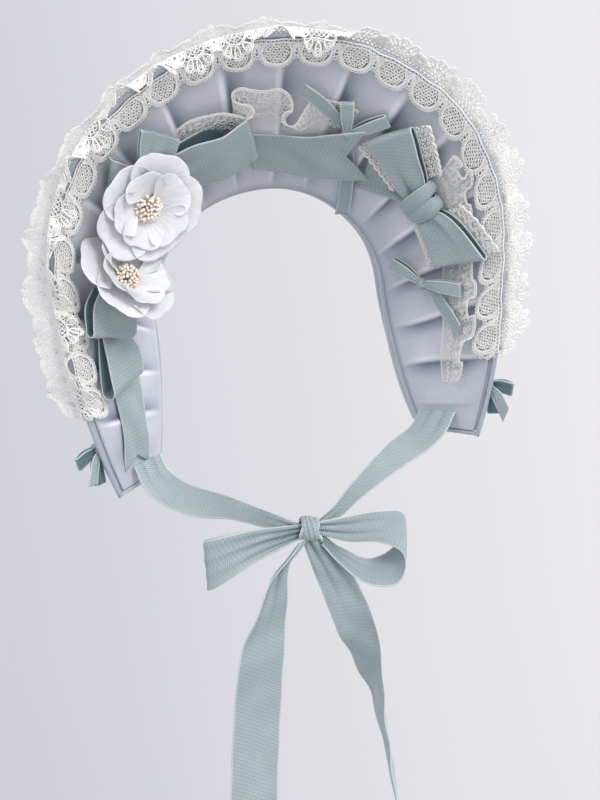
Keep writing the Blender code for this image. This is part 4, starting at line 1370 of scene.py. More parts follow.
@dataclass
class EdgeLace:
    """The two rows of corded lace at the front edge and the net frill behind them."""

    finishes: Finishes
    thread: float = 0.00046
    crown_thread: float = 0.00042
    stray: float = 3.0
    fold_start: float = 4.5
    fold_length: float = 7.0
    leans: tuple[float, ...] = (
        110, 120, 66, 38, 84, 125, 118, 64, 34, 56, 108, 124, 84, 30, 108, 130, 72, 22, 92, 44, 125, 138,
        104, 142, 96, 44, 90, 146, 72, 22, 12, 16, 0, 8, -12, -4, -26, -14, -36, -24, -42, -28, -46, -30,
        -44, -30, -42, -32, -44, -32, -42)
    frill_cells: int = 64
    frill_waves: float = 22.0
    frill_root: float = 0.008
    frill_cut: float = 0.030
    frill_thread: float = 0.00030
    frill_reach: tuple[tuple[float, float], ...] = (
        (-0.84, 0.022), (-0.72, 0.031), (-0.60, 0.031), (-0.50, 0.021), (-0.42, 0.014), (-0.30, 0.007),
        (-0.12, 0.008), (-0.05, 0.011), (0.05, 0.006), (0.50, 0.004), (0.84, 0.006))

    def lean(self, along: Array, cell: float) -> Array:
        """How far the outer lace has flopped towards the wearer, in radians, at a length along it."""
        place = np.clip(along / cell * 2.0, 0.0, len(self.leans) - 1.001)
        start = place.astype(int)
        share = place - start
        share = share * share * (3.0 - 2.0 * share)
        table = np.radians(np.array(self.leans, float))
        return table[start] * (1.0 - share) + table[np.minimum(start + 1, len(table) - 1)] * share

    def build(self, threads: ThreadMaker) -> None:
        """Make and dress the laces."""
        length = float(BRIM.front.run[-1])
        cell = 2 * LACE_END * length / LACE_REPEATS / MILLIMETRE

        def inner(along: Array, depth: Array) -> Array:
            """A place on the wearer's side of the edge, where the lace wanders over the cord."""
            around = -LACE_END + along * MILLIMETRE / length
            stray = self.stray * (1.0 + 0.32 * np.sin(along / cell * 1.9) + 0.12 * np.sin(along / cell * 5.3))
            stray = stray + self.stray * (np.clip((around - 0.09) / 0.1, 0.0, 1.0)
                                          + 0.8 * np.clip((-0.40 - around) / 0.1, 0.0, 1.0))
            out = 1.0 - (depth - stray) * MILLIMETRE / BRIM.slant(around)
            share = np.clip(depth / 26.0, 0.0, 1.0)
            wave = 0.0012 * (1.0 + np.sin(along / cell * 2 * math.pi + 2.0)) * share ** 1.5
            wave = wave + 0.0006 * (1.0 + np.sin(along * 0.31)) * (1.0 - share)
            return BRIM.place(around, out, BRIM.rest(around, np.minimum(out, 1.0), 0.001) + wave)

        def outer(along: Array, depth: Array) -> Array:
            """A place behind and beyond the edge, where some crowns flop over the cord."""
            around = -LACE_END + along * MILLIMETRE / length
            share = np.clip(depth / 26.0, 0.0, 1.0)
            steps = (np.arange(24) + 0.5) / 24 * depth[..., None]
            bend = np.clip((steps - self.fold_start) / self.fold_length, 0.0, 1.0)
            angle = self.lean(along, cell)[..., None] * bend * bend * (3.0 - 2.0 * bend)
            reach = np.cos(angle).mean(axis=-1) * depth
            rise = np.sin(angle).mean(axis=-1) * depth
            wave = (0.0022 * np.sin(along / cell * math.pi + 1.0) + 0.0012 * np.sin(along * 0.47)) * share
            out = 1.0 + (reach * MILLIMETRE + wave * np.sin(angle[..., -1])) / BRIM.slant(around)
            return BRIM.place(around, out, -(SHELL_BACK + 0.0014) + rise * MILLIMETRE
                              + (wave + 0.002 * share) * np.abs(np.cos(angle[..., -1])))

        for row, pattern, surface, radius in (("inner", bell_cell, inner, self.thread),
                                              ("outer", crown_cell, outer, self.crown_thread)):
            made = trace(LACE_REPEATS, cell, lambda _, pattern=pattern: pattern(cell), surface)
            piece = threads.make(f"{row}_lace_threads", made, radius, self.finishes.lace)
            dress(piece, [f"edge_lace_{row}"])
        self.build_back_frill(threads, length)

    def build_back_frill(self, threads: ThreadMaker, length: float) -> None:
        """The embroidered net ruffle that shows behind the outer lace."""
        around = np.linspace(-LACE_END, LACE_END, self.frill_cells * 9 + 1)[:, None]
        share = np.linspace(0.0, 1.0, 15)[None, :]
        places, depths = np.array(self.frill_reach).T
        free = np.interp(around, places, depths)
        scallop = np.abs(np.sin((around / LACE_END + 1.0) / 2 * self.frill_cells * math.pi)) ** 0.7
        free = free * (0.80 + 0.12 * scallop + 0.08 * np.sin(around * 47.0)) + 0.0012 * scallop
        reach = -self.frill_root + (free + self.frill_root) * share
        run = around * self.frill_waves * math.pi
        swing = (np.sin(run) + 0.35 * np.sin(1.7 * run + 1.0)) * share ** 1.3
        height = -(SHELL_BACK + 2 * REST_GAP + 0.0015) - 0.0040 * share - 0.0026 * (1.0 + swing)
        lean = 0.008 * np.cos(run) * share ** 1.5
        grid = BRIM.place(around + lean, 1.0 + reach / BRIM.slant(around), height)
        sheet = cloth("back_net_frill", grid, NET_WALL, self.finishes.tulle)
        dress(sheet, ["back_frill"], self.frill_cut, Held.GATHERED)
        depth = (float(free.mean()) + self.frill_root) / MILLIMETRE
        cell = 2 * LACE_END * length / self.frill_cells / MILLIMETRE
        made = threads.make("back_frill_embroidery", embroider(grid, self.frill_cells, cell, depth, 0.0),
                            self.frill_thread, self.finishes.lace)
        dress(made, [])


# The top frill's free edge, as around, out and up
TOP_FRILL_EDGE = (
    (-0.180, 0.672, 0.002), (-0.148, 0.689, 0.003), (-0.108, 0.673, 0.004), (-0.077, 0.658, 0.005),
    (-0.047, 0.624, 0.007), (-0.023, 0.592, 0.009), (-0.011, 0.630, 0.010), (-0.020, 0.672, 0.010),
    (-0.040, 0.690, 0.009), (-0.054, 0.722, 0.008), (-0.053, 0.765, 0.008), (-0.036, 0.783, 0.008),
    (-0.010, 0.755, 0.008), (0.014, 0.745, 0.008), (0.040, 0.757, 0.008), (0.059, 0.730, 0.008),
    (0.069, 0.680, 0.009), (0.069, 0.635, 0.010), (0.058, 0.648, 0.011), (0.047, 0.618, 0.011),
    (0.049, 0.562, 0.010), (0.064, 0.524, 0.009), (0.082, 0.520, 0.008), (0.095, 0.580, 0.006),
    (0.108, 0.655, 0.005), (0.128, 0.680, 0.004), (0.146, 0.676, 0.002), (0.168, 0.672, 0.0006),
    (0.192, 0.676, 0.0004), (0.214, 0.660, 0.0004))
TOP_FRILL_ROOT = 0.385
# The right frill's sections, as around, root, edge and up
RIGHT_FRILL = (
    (0.430, 0.62, 0.84, 0.007), (0.465, 0.62, 0.90, 0.008), (0.505, 0.60, 0.84, 0.003),
    (0.550, 0.58, 0.82, 0.002), (0.610, 0.54, 0.82, 0.002), (0.680, 0.50, 0.82, 0.003),
    (0.735, 0.50, 0.82, 0.007), (0.810, 0.46, 0.78, 0.007), (0.880, 0.46, 0.68, 0.004))


@dataclass
class InnerFrill:
    """A net ruffle inside the brim: flat at its sewn root, then up to its waving edge."""

    finishes: Finishes
    node: str
    rows: tuple[Ruffle, ...]
    waves: float
    swing: float
    curl: float
    cells: int
    cut_width: float = 0.034
    thread: float = 0.00031

    def build(self, threads: ThreadMaker) -> None:
        """Make and dress the ruffle and its embroidery."""
        stations = smooth_rows(self.rows, 280 // (len(self.rows) - 1))
        share = np.linspace(0.0, 1.0, 23)[None, :]
        raised = np.clip((share - 0.30) / 0.70, 0.0, 1.0) ** 1.1
        around, root, edge, lift, drift = [stations[:, column, None] for column in range(5)]
        run = np.linspace(0.0, self.waves * 2 * math.pi, len(stations))[:, None]
        lift = np.maximum(lift, 0.0)
        free = raised * np.clip(lift / 0.006, 0.15, 1.0)
        around = around - self.curl * np.sin(2 * run) * free + drift * share ** 1.5
        out = root + (edge - root) * share + self.swing * free * np.sin(run)
        rise = lift * raised * (1.0 + 0.3 * np.sin(run * 0.5 + 1.0))
        grid = BRIM.place(around, out, BRIM.rest(around, out, 0.001) + rise)
        sheet = cloth(f"{self.node}_net", grid, NET_WALL, self.finishes.tulle)
        dress(sheet, [self.node], self.cut_width, Held.GATHERED)
        depth = float(run_across(grid)[:, -1].mean()) / MILLIMETRE
        cell = float(run_along(grid)[-1, -1]) / self.cells / MILLIMETRE
        made = threads.make(f"{self.node}_embroidery", embroider(grid, self.cells, cell, depth, 0.0001),
                            self.thread, self.finishes.lace)
        dress(made, [])


@dataclass(frozen=True)
class Wrap:
    """One turn of ribbon round the waist of a bow, with creases along it."""

    name: str
    length: float
    half_width: float
    half_height: float
    slant: float
    along: float
    folds: float

    def build(self, node: str, centre: Array, axis: Array, upward: Array, material: Material) -> Object:
        """Make the turn.

        Args:
            node: the knot's name.
            centre: the middle of the knot.
            axis: the bow's direction through the knot.
            upward: the direction out of the bow's face.
            material: its finish.

        Returns:
            The piece.
        """
        axis = unit(axis)
        upward = unit(upward - axis * (upward @ axis))
        sideways = np.cross(axis, upward)
        angle = circle(60)[:, None]
        station = np.linspace(-0.5, 0.5, 25)[None, :]
        waist = 1.0 - 0.13 * (2 * np.abs(station)) ** 3
        crease = 1.0 - np.abs(np.cos(math.pi * self.folds * station + 0.5 * np.sin(angle))) ** 0.6
        radial = waist * (1.02 - 0.10 * crease)
        squash = 1.0 / (np.abs(np.cos(angle)) ** 2.4 + np.abs(np.sin(angle)) ** 2.4) ** (1 / 2.4)
        lean = math.tan(math.radians(self.slant)) * self.half_width
        pinch = 1.0 - 0.30 * np.abs(np.cos(angle)) ** 3
        offset = self.along + self.length * station * pinch + lean * np.cos(angle)
        rings = (centre + offset[..., None] * axis
                 + (np.cos(angle) * squash * radial * self.half_width)[..., None] * sideways
                 + (np.sin(angle) * squash * radial * self.half_height)[..., None] * upward)
        return cloth(f"{node}_{self.name}_wrap", rings, 0.0009, material, closed_rows=True,
                     shade=crease ** 1.5 * 0.9)


def wrap_knot(node: str, wraps: Sequence[Wrap], centre: Array, axis: Array, upward: Array,
              material: Material) -> None:
    """Make and dress the turns of a wrapped knot, of which the first stands for its solid."""
    for wrap in wraps:
        piece = wrap.build(node, centre, axis, upward, material)
        dress(piece, [node] if wrap is wraps[0] else [], WRAP_CUT, Held.FOLDED)


@dataclass(frozen=True)
class Strip:
    """One ribbon over the brim: its sections, its return height if a loop, and its folds."""

    node: str
    rows: tuple[Fold, ...]
    under: Optional[float] = None
    gather: Gather = Gather()
    cut: Cut = Cut.SQUARE
    cut_depth: float = 0.0
    columns: int = 22
    steps: int = 14

    def build(self, material: Material) -> Object:
        """Make the ribbon.

        Args:
            material: its finish.

        Returns:
            The piece.
        """
        if self.under is None:
            stations, bend = smooth_rows(self.rows, self.steps), 0
        else:
            stations, bend = loop_stations(self.rows, self.under, self.steps)
        grid, shade = self.gather.shape(brim_grid(stations, self.columns))
        if self.under is None:
            grid = trim_end(grid, self.cut, self.cut_depth)
        else:
            order = np.arange(len(stations))
            shade = np.maximum(shade, np.clip((order - bend - 3) / 6.0, 0.0, 1.0)[:, None])
        return cloth(f"{self.node}_ribbon", grid, RIBBON_WALL, material, shade=shade)


LEFT_STRIPS = (
    Strip("left_bow_loop_right", folds(
        (-0.258, 0.5, 0.0125, 60, 0, 0.032), (-0.178, 0.44, 0.016, 74, 2, 0.044),
        (-0.098, 0.42, 0.0205, 85, 4, 0.046), (-0.03, 0.45, 0.0165, 100, 2, 0.044)),
        under=0.0070, gather=Gather(depth=0.0010, reach=0.022, both_ends=True, seed=3)),
    Strip("left_bow_loop_up", folds(
        (-0.265, 0.66, 0.019, 117, 0, 0.028), (-0.243, 0.73, 0.0198, 122, 0, 0.036),
        (-0.222, 0.8, 0.0202, 120, 0, 0.04)),
        under=0.0172, gather=Gather(depth=0.0006, seed=4)),
    Strip("left_bow_loop_side", folds(
        (-0.325, 0.69, 0.014, 40, -3, 0.028), (-0.345, 0.79, 0.014, 41, -3, 0.034)),
        under=0.0065, gather=Gather(depth=0.0008, seed=5)),
    Strip("left_bow_loop_low_upper", folds(
        (-0.55, 0.66, 0.023, 80, -12, 0.03), (-0.6, 0.74, 0.026, 72, -20, 0.038),
        (-0.648, 0.76, 0.024, 68, -16, 0.04)),
        under=0.0126, gather=Gather(depth=0.0010, seed=6)),
    Strip("left_bow_loop_low_lower", folds(
        (-0.565, 0.58, 0.0105, 72, 0, 0.03), (-0.64, 0.6, 0.011, 72, 0, 0.034),
        (-0.69, 0.62, 0.0168, 82, -6, 0.036), (-0.748, 0.66, 0.0196, 97, -4, 0.036)),
        under=0.0074, gather=Gather(depth=0.0008, seed=7)),
    Strip("left_bow_tail", folds(
        (-0.565, 0.52, 0.001, 74, 0, 0.034), (-0.743, 0.49, 0.001, 75, 0, 0.034),
        (-0.861, 0.48, 0.001, 75, 0, 0.031), (-0.965, 0.53, 0.001, 77, 0, 0.03)),
        gather=Gather(depth=0.0008, seed=8), cut=Cut.NOTCHED, cut_depth=0.010),
    Strip("centre_ribbon_tail", folds(
        (-0.014, 0.29, 0.0046, 91, 0, 0.038), (0.066, 0.258, 0.0046, 103, 0, 0.041),
        (0.144, 0.285, 0.0085, 113, 0, 0.044), (0.218, 0.38, 0.0108, 121, 2, 0.048),
        (0.274, 0.468, 0.0118, 126, 2, 0.05)),
        gather=Gather(depth=0.0, seed=9, ripple=0.0005), cut=Cut.NOTCHED, cut_depth=0.018),
)
RIGHT_STRIPS = (
    Strip("right_bow_loop_up", folds(
        (0.438, 0.53, 0.015, -90, 0, 0.016), (0.405, 0.55, 0.016, -97, 2, 0.024),
        (0.352, 0.59, 0.0172, -110, 0, 0.032), (0.296, 0.66, 0.0165, -116, 0, 0.04)),
        under=0.0092,
        gather=Gather(depth=0.0016, count=1.6, reach=0.024, phase=0.8, both_ends=True, seed=10)),
    Strip("right_bow_loop_low", folds(
        (0.456, 0.53, 0.015, -84, 0, 0.016), (0.472, 0.53, 0.015, -83, 0, 0.017),
        (0.496, 0.57, 0.0158, -76, 0, 0.026), (0.545, 0.64, 0.0168, -78, 1, 0.036),
        (0.618, 0.735, 0.0158, -74, 2, 0.046)),
        under=0.0092,
        gather=Gather(depth=0.0016, count=1.6, reach=0.030, phase=2.2, both_ends=True, seed=11)),
    Strip("right_bow_tail", folds(
        (0.416, 0.42, 0.004, 107, 0, 0.014), (0.345, 0.36, 0.0035, 110, 0, 0.026),
        (0.285, 0.31, 0.003, 110, 0, 0.032)),
        gather=Gather(depth=0.0010, seed=12)),
)
RIGHT_LACE_UP = 0.0074
RIGHT_LACE_MARGIN = 0.024


@dataclass
class WideBows:
    """The wide ribbon under the flowers and across the top, and the bow at the right."""

    finishes: Finishes
    wraps: tuple[Wrap, ...] = (Wrap("front", 0.0130, 0.0172, 0.0090, 16.0, -0.0044, 0.55),
                               Wrap("back", 0.0150, 0.0160, 0.0076, 4.0, 0.0046, 0.55))
    knot_place: tuple[float, float] = (0.447, 0.53)
    knot_up: float = 0.0121
    lace_cut: float = 0.045
    scallop: float = 6.5
    scroll_thread: float = 0.00045

    def build(self, threads: ThreadMaker) -> None:
        """Make and dress both bows, their knots and the lace behind the right one."""
        for strip in LEFT_STRIPS + RIGHT_STRIPS:
            piece = strip.build(self.finishes.ribbon)
            held = Held.FOLDED if strip.under is not None else Held.LAID
            dress(piece, [strip.node], WIDE_RIBBON, held)
        for node, around, out, high in (("left_bow_knot", -0.298, 0.58, 0.0232),
                                        ("left_bow_low_knot", -0.510, 0.63, 0.0212)):
            low = float(BRIM.rest(around, out, 0.0))
            centre, tangent, outward, normal = BRIM.frame(around, out)
            size = (0.009, 0.009, (high - low) / 2)
            piece = gathered_knot(f"{node}_ribbon", centre + normal * (low + high) / 2,
                                  (tangent, outward, normal), size, self.finishes.ribbon)
            dress(piece, [node])
        centre, tangent, _, normal = BRIM.frame(*self.knot_place)
        wrap_knot("right_bow_knot", self.wraps, centre + normal * self.knot_up, tangent, normal,
                  self.finishes.ribbon)
        for strip in RIGHT_STRIPS[:2]:
            self.build_backing(strip, threads)

    def build_backing(self, strip: Strip, threads: ThreadMaker) -> None:
        """The strip of scrolled lace that shows beside a loop."""
        rows = [row._replace(up=RIGHT_LACE_UP, tilt=0, width=row.width + RIGHT_LACE_MARGIN)
                for row in strip.rows[-3:]]
        grid = brim_grid(smooth_rows(rows, 20), 24, 0.001)
        node = strip.node.replace("loop", "lace")
        sheet = cloth(f"{node}_net", grid, NET_WALL, self.finishes.tulle)
        dress(sheet, [node], self.lace_cut, Held.LAID)
        surface = GridSurface(grid)
        length = float(run_along(grid)[-1, 12]) / MILLIMETRE
        width = float(run_across(grid)[:, -1].mean()) / MILLIMETRE
        cells = max(3, round(length / self.scallop))
        cell = length / cells
        made = []
        for side in (0.0, 1.0):
            def on_strip(along: Array, deep: Array, side: float = side) -> Array:
                """A place beside one edge of the strip."""
                share = deep / width
                return surface.at(along / length, share if side == 0.0 else 1.0 - share, NET_WALL)

            made += trace(cells, cell, lambda i: scallop_cell(cell), on_strip)
        piece = threads.make(f"{node}_scrolls", made, self.scroll_thread, self.finishes.lace, sides=5)
        dress(piece, [])


def scallop_cell(cell: float) -> list[Thread]:
    """One repeat of a narrow lace edging: a corded scallop round two rows of scrolls."""
    half = cell / 2
    return [arc(0, half * 0.95, half * 0.95, 190, 350, 1.4), arc(0, half * 0.95, half * 0.62, 190, 350, 0.9),
            ring(0, half * 1.15, half * 0.36, 1.0), ring(half, half * 1.55, half * 0.26, 0.9, 7),
            arc(half * 0.1, half * 2.3, half * 0.62, 20, 320, 1.2, 0.4, 12),
            arc(-half * 0.1, half * 3.7, half * 0.55, 200, 500, 1.2, 0.4, 12),
            ring(half, half * 3.0, half * 0.24, 0.9, 7),
            drawn([-half, 0, half], [half * 4.5, half * 4.7, half * 4.5], 1.1)]


def gathered_knot(name: str, centre: Array, axes: tuple[Array, Array, Array],
                  size: Triple, material: Material) -> Object:
    """A small rounded knot of ribbon with folds down its sides."""
    lean = np.linspace(0.04, 0.96, 15)[:, None] * math.pi
    angle = circle(40)[None, :]
    folds = 1.0 + 0.07 * np.sin(angle * 5 + 2.0 * np.cos(lean)) * np.sin(lean)
    x = np.sin(lean) ** 0.8 * np.cos(angle) * folds * size[0]
    y = np.sin(lean) ** 0.8 * np.sin(angle) * folds * size[1]
    z = np.cos(lean) * np.ones(angle.shape) * size[2]
    rings = centre + x[..., None] * axes[0] + y[..., None] * axes[1] + z[..., None] * axes[2]
    return closed_form(name, rings, material, np.clip(-np.sin(angle * 5 + 2.0 * np.cos(lean)), 0, 1) * 0.5)


# Sections of a narrow bow's loops and tails: share of the length, height and width
LOOP_SECTIONS = ((0.0, 0.0064, 0.005), (0.5, 0.0084, 0.010), (1.0, 0.0076, NARROW_RIBBON))
TAIL_SECTIONS = ((0.0, 0.0014, 0.004), (0.3, 0.0016, 0.010), (0.65, 0.0014, NARROW_RIBBON),
                 (1.0, 0.0014, NARROW_RIBBON))


class Reach(NamedTuple):
    """A strip from a bow's knot: degrees from the arch, length, and rise at its end."""

    heading: float
    length: float
    rise: float = 0.0


@dataclass
class NarrowBow:
    """A small bow of narrow ribbon: where it sits, what it lies on, and which side."""

    finishes: Finishes
    name: str
    around: float
    out: float
    floor: float
    side: float
    loops: tuple[Reach, ...]
    tails: tuple[Reach, ...]
    cut: Cut = Cut.SLANTED
    cut_depth: float = 0.006
    knot_radius: float = 0.0045
    knot_middle: float = 0.0052
    loop_back: float = 0.0042
    tail_root: float = 0.0031

    def rows(self, reach: Reach, start: float, sections: Sequence[tuple]) -> tuple[Fold, ...]:
        """Sections of a strip that runs from the knot: (share, height, width)."""
        heading = math.radians(reach.heading)
        found = []
        for share, height, width in sections:
            step = start + (reach.length - start) * share
            around, out = BRIM.shift(self.around, self.out, step * math.cos(heading),
                                     step * math.sin(heading))
            up = self.side * (self.floor + height + reach.rise * share)
            found.append(Fold(float(around), float(out), up, reach.heading + 90, 0, width))
        return tuple(found)

    def build(self) -> None:
        """Make and dress the loops, tails and knot."""
        ribbon = self.finishes.ribbon
        strips = []
        for index, reach in enumerate(self.loops, start=1):
            gather = Gather(0.0006, 1.5, 0.010, both_ends=True, ripple=0.0002, seed=20 + index)
            rows = self.rows(reach, self.knot_radius * 0.6, LOOP_SECTIONS)
            strips.append(Strip(f"{self.name}_loop_{index}", rows, self.side * (self.floor + self.loop_back),
                                gather, columns=12, steps=14))
        for index, reach in enumerate(self.tails, start=1):
            gather = Gather(0.0005, 1.5, 0.010, ripple=0.0004, seed=30 + index)
            rows = self.rows(reach, self.tail_root, TAIL_SECTIONS)
            strips.append(Strip(f"{self.name}_tail_{index}", rows, None, gather, self.cut, self.cut_depth,
                                columns=12, steps=16))
        for strip in strips:
            held = Held.HUNG if strip.under is None else Held.FOLDED
            dress(strip.build(ribbon), [strip.node], NARROW_RIBBON, held)
        centre, tangent, outward, normal = BRIM.frame(self.around, self.out)
        middle = centre + normal * self.side * (self.floor + self.knot_middle)
        piece = gathered_knot(f"{self.name}_knot_ribbon", middle, (tangent, outward, normal),
                              (self.knot_radius, self.knot_radius, self.knot_middle - REST_GAP), ribbon)
        dress(piece, [f"{self.name}_knot"])


@dataclass
class OrganzaFlower:
    """Two cupped rings of sheer petals round a cushion of stamens."""

    finishes: Finishes
    name: str
    around: float
    out: float
    up: float
    face: Triple
    radius: float
    roll: float
    nudge: Triple = (0.0, 0.0, 0.0)
    petals: int = 5
    petal_wall: float = 0.0003
    petal_spread: float = 0.90
    outer_cup: float = 0.011
    inner_share: float = 0.74
    inner_lift: float = 0.0022
    inner_cup: float = 0.012
    stamens: int = 64
    stamen_radius: float = 0.0105
    stamen_lean: float = 72.0
    stem_radius: float = 0.00018
    bead_radius: float = 0.00120
    seed: int = 5

    def axes(self) -> tuple[Array, Array, Array, Array]:
        """Centre, and the flower's own three directions, its face last."""
        centre, tangent, outward, normal = BRIM.frame(self.around, self.out)
        centre = centre + normal * self.up + np.array(self.nudge)
        axis = tangent * self.face[0] + outward * self.face[1] + normal * self.face[2]
        axis = unit(axis)
        side = unit(np.cross(outward, axis))
        return centre, side, np.cross(axis, side), axis

    def petal_grid(self, radius: float, turn: float, lift: float, cup: float,
                   random: np.random.Generator) -> Array:
        """Points of one petal, from its root to its frilled rim."""
        centre, side, other, axis = self.axes()
        along = np.linspace(0.0, 1.0, 26)[:, None]
        across = np.linspace(-1.0, 1.0, 31)[None, :]
        width = self.petal_spread * np.sin(np.clip(along * 1.02, 0.0, 1.0) * math.pi * 0.60) ** 0.75 + 0.06
        heart = 1.0 - 0.045 * np.exp(-(across / 0.20) ** 2) - 0.26 * np.abs(across) ** 3.0
        reach = radius * (0.05 + 0.95 * along * (1.0 + (heart - 1.0) * along ** 1.5))
        angle = math.radians(turn) + width * across * (1.0 - 0.10 * along)
        phases = random.uniform(0.0, 6.3, 4)
        frill = (np.sin(across * 4.2 + phases[0]) + 0.5 * np.sin(across * 8.0 + phases[1])) * along ** 3
        crease = 0.00030 * np.sin(across * 24.0 + phases[2] + along * 2.0) * along * (1.0 - 0.4 * along)
        rise = (lift + cup * along ** 1.6 - 0.0030 * along ** 5 + 0.0009 * frill + crease
                + 0.0030 * across ** 2 * along + 0.0016 * across * np.sin(along * math.pi))
        reach = reach + 0.0005 * frill
        return (centre + axis * rise[..., None] + (np.cos(angle) * reach)[..., None] * side
                + (np.sin(angle) * reach)[..., None] * other)

    def build(self, scatter: Scatter) -> None:
        """Make and dress the petals and the stamens."""
        random = np.random.default_rng(self.seed)
        for title, radius, lift, cup, roll in (
                ("outer_petals", self.radius, 0.0, self.outer_cup, self.roll),
                ("inner_petals", self.radius * self.inner_share, self.inner_lift, self.inner_cup,
                 self.roll + 180 / self.petals)):
            for number in range(self.petals):
                turn = roll + number * 360 / self.petals + random.uniform(-5, 5)
                size = radius * random.uniform(0.95, 1.04)
                grid = self.petal_grid(size, turn, lift + 0.0005 * (number % 2), cup, random)
                piece = cloth(f"{self.name}_{title}_{number + 1}", grid, self.petal_wall,
                              self.finishes.organza)
                nodes = [f"{self.name}_{title}"] if number == 0 else []
                dress(piece, nodes, radius, Held.GATHERED)
        self.build_stamens(scatter, random)

    def build_stamens(self, scatter: Scatter, random: np.random.Generator) -> None:
        """A dome of fine stems with beaded ends."""
        centre, side, other, axis = self.axes()
        heart = centre + axis * (0.0058 - self.stamen_radius * 0.35)
        order = np.arange(self.stamens) + 0.5
        lean = np.arccos(1.0 - order / self.stamens * (1.0 - math.cos(math.radians(self.stamen_lean))))
        spin = order * math.pi * (3.0 - math.sqrt(5.0)) + random.uniform(-0.15, 0.15, self.stamens)
        facing = (np.sin(lean) * np.cos(spin))[:, None] * side
        facing = facing + (np.sin(lean) * np.sin(spin))[:, None] * other + np.cos(lean)[:, None] * axis
        top = self.stamen_radius * 0.95
        stem = turned_motif("stem_motif", ((0.0, 0.0), (0.0, self.stem_radius), (top, self.stem_radius),
                                           (top, 0.0)), 5)
        middle = self.stamen_radius * 0.98
        bead = turned_motif("bead_motif", [
            (middle - self.bead_radius * 1.3 * math.cos(lean), self.bead_radius * math.sin(lean))
            for lean in np.linspace(0.0, math.pi, 6)], 8)
        for title, motif, finish in (("stems", stem, self.finishes.stem),
                                     ("beads", bead, self.finishes.stamen)):
            piece = scatter.make(f"{self.name}_stamen_{title}", np.broadcast_to(heart, facing.shape),
                                 np.broadcast_to(side, facing.shape), facing, motif, finish)
            dress(piece, [f"{self.name}_stamens"] if title == "beads" else [])


@dataclass(frozen=True)
class HangingStrip:
    """One ribbon of the chin bow: its sections and its folds."""

    node: str
    rows: tuple[Hang, ...]
    gather: Gather
    held: Held = Held.HUNG
    cut: Cut = Cut.SQUARE


CHIN_STRIPS = (
    HangingStrip("chin_strap_left", hangs(
        (-0.115, -0.03, -0.19, -140, -4, 0.03), (-0.109, -0.04, -0.207, -135, -20, 0.03),
        (-0.09, -0.056, -0.22, -120, -45, 0.026), (-0.062, -0.074, -0.2265, -110, -70, 0.018),
        (-0.038, -0.088, -0.236, -105, -80, 0.014), (-0.015, -0.1, -0.2435, -100, -86, 0.006)),
        Gather(depth=0.0006, reach=0.02, both_ends=True, seed=41), Held.STRETCHED),
    HangingStrip("chin_strap_right", hangs(
        (0.115, -0.03, -0.19, -40, -4, 0.03), (0.1, -0.042, -0.203, -45, -20, 0.028),
        (0.07, -0.056, -0.214, -60, -45, 0.022), (0.04, -0.072, -0.227, -70, -70, 0.016),
        (0.016, -0.09, -0.238, -75, -80, 0.012), (-0.0024, -0.1, -0.2435, -80, -86, 0.006)),
        Gather(depth=0.0006, reach=0.02, both_ends=True, seed=42), Held.STRETCHED),
    HangingStrip("chin_loop_left", hangs(
        (-0.0105, -0.104, -0.2445, 0, 86, 0.008), (-0.017, -0.1045, -0.245, 0, 86, 0.01),
        (-0.05, -0.104, -0.25, 0, 86, 0.024), (-0.08, -0.1, -0.259, 0, 86, 0.037),
        (-0.088, -0.094, -0.262, 0, 86, 0.038), (-0.083, -0.089, -0.261, 0, 86, 0.037),
        (-0.052, -0.09, -0.254, 0, 86, 0.024), (-0.02, -0.101, -0.248, 0, 86, 0.009),
        (-0.012, -0.103, -0.246, 0, 86, 0.008)),
        Gather(depth=0.0022, count=3.4, reach=0.050, phase=0.6, both_ends=True, seed=43), Held.FOLDED),
    HangingStrip("chin_loop_right", hangs(
        (-0.0075, -0.104, -0.2445, 0, 84, 0.008), (-0.001, -0.1045, -0.245, 0, 84, 0.01),
        (0.02, -0.104, -0.2495, 0, 84, 0.02), (0.044, -0.1, -0.253, 20, 78, 0.024),
        (0.061, -0.095, -0.261, 60, 55, 0.03), (0.064, -0.093, -0.275, 75, 35, 0.034),
        (0.052, -0.093, -0.289, 85, 30, 0.034), (0.032, -0.095, -0.288, 85, 35, 0.026),
        (0.012, -0.1, -0.27, 75, 50, 0.015), (0.0000, -0.104, -0.2545, 60, 60, 0.008)),
        Gather(depth=0.0016, count=2.6, reach=0.036, both_ends=True, seed=44), Held.FOLDED),
    HangingStrip("chin_tail_left", hangs(
        (-0.011, -0.1075, -0.247, 8, 34, 0.008), (-0.018, -0.1085, -0.2545, 8, 30, 0.01),
        (-0.034, -0.108, -0.27, 8, 25, 0.016), (-0.044, -0.106, -0.295, 8, 14, 0.024),
        (-0.056, -0.102, -0.33, 6, 8, 0.036), (-0.067, -0.098, -0.385, 4, 6, 0.038),
        (-0.077, -0.096, -0.445, 4, 5, 0.038), (-0.085, -0.095, -0.5, 4, 4, 0.038)),
        Gather(depth=0.0018, count=2.4, reach=0.060, phase=1.0, seed=45, ripple=0.0010, cup=0.0034),
        cut=Cut.SLANTED),
    HangingStrip("chin_tail_right", hangs(
        (-0.01, -0.104, -0.248, 0, 30, 0.01), (-0.0075, -0.103, -0.256, 0, 30, 0.014),
        (0.003, -0.098, -0.28, -4, 30, 0.024), (0.015, -0.094, -0.315, -18, 25, 0.031),
        (0.024, -0.092, -0.35, -52, 15, 0.034), (0.0285, -0.093, -0.385, -82, 6, 0.036),
        (0.031, -0.095, -0.43, -94, 4, 0.038), (0.033, -0.096, -0.475, -98, 4, 0.038),
        (0.035, -0.096, -0.515, -98, 4, 0.038)),
        Gather(depth=0.0018, count=2.4, reach=0.050, phase=2.5, seed=46, ripple=0.0010, cup=0.0020),
        cut=Cut.SLANTED),
)


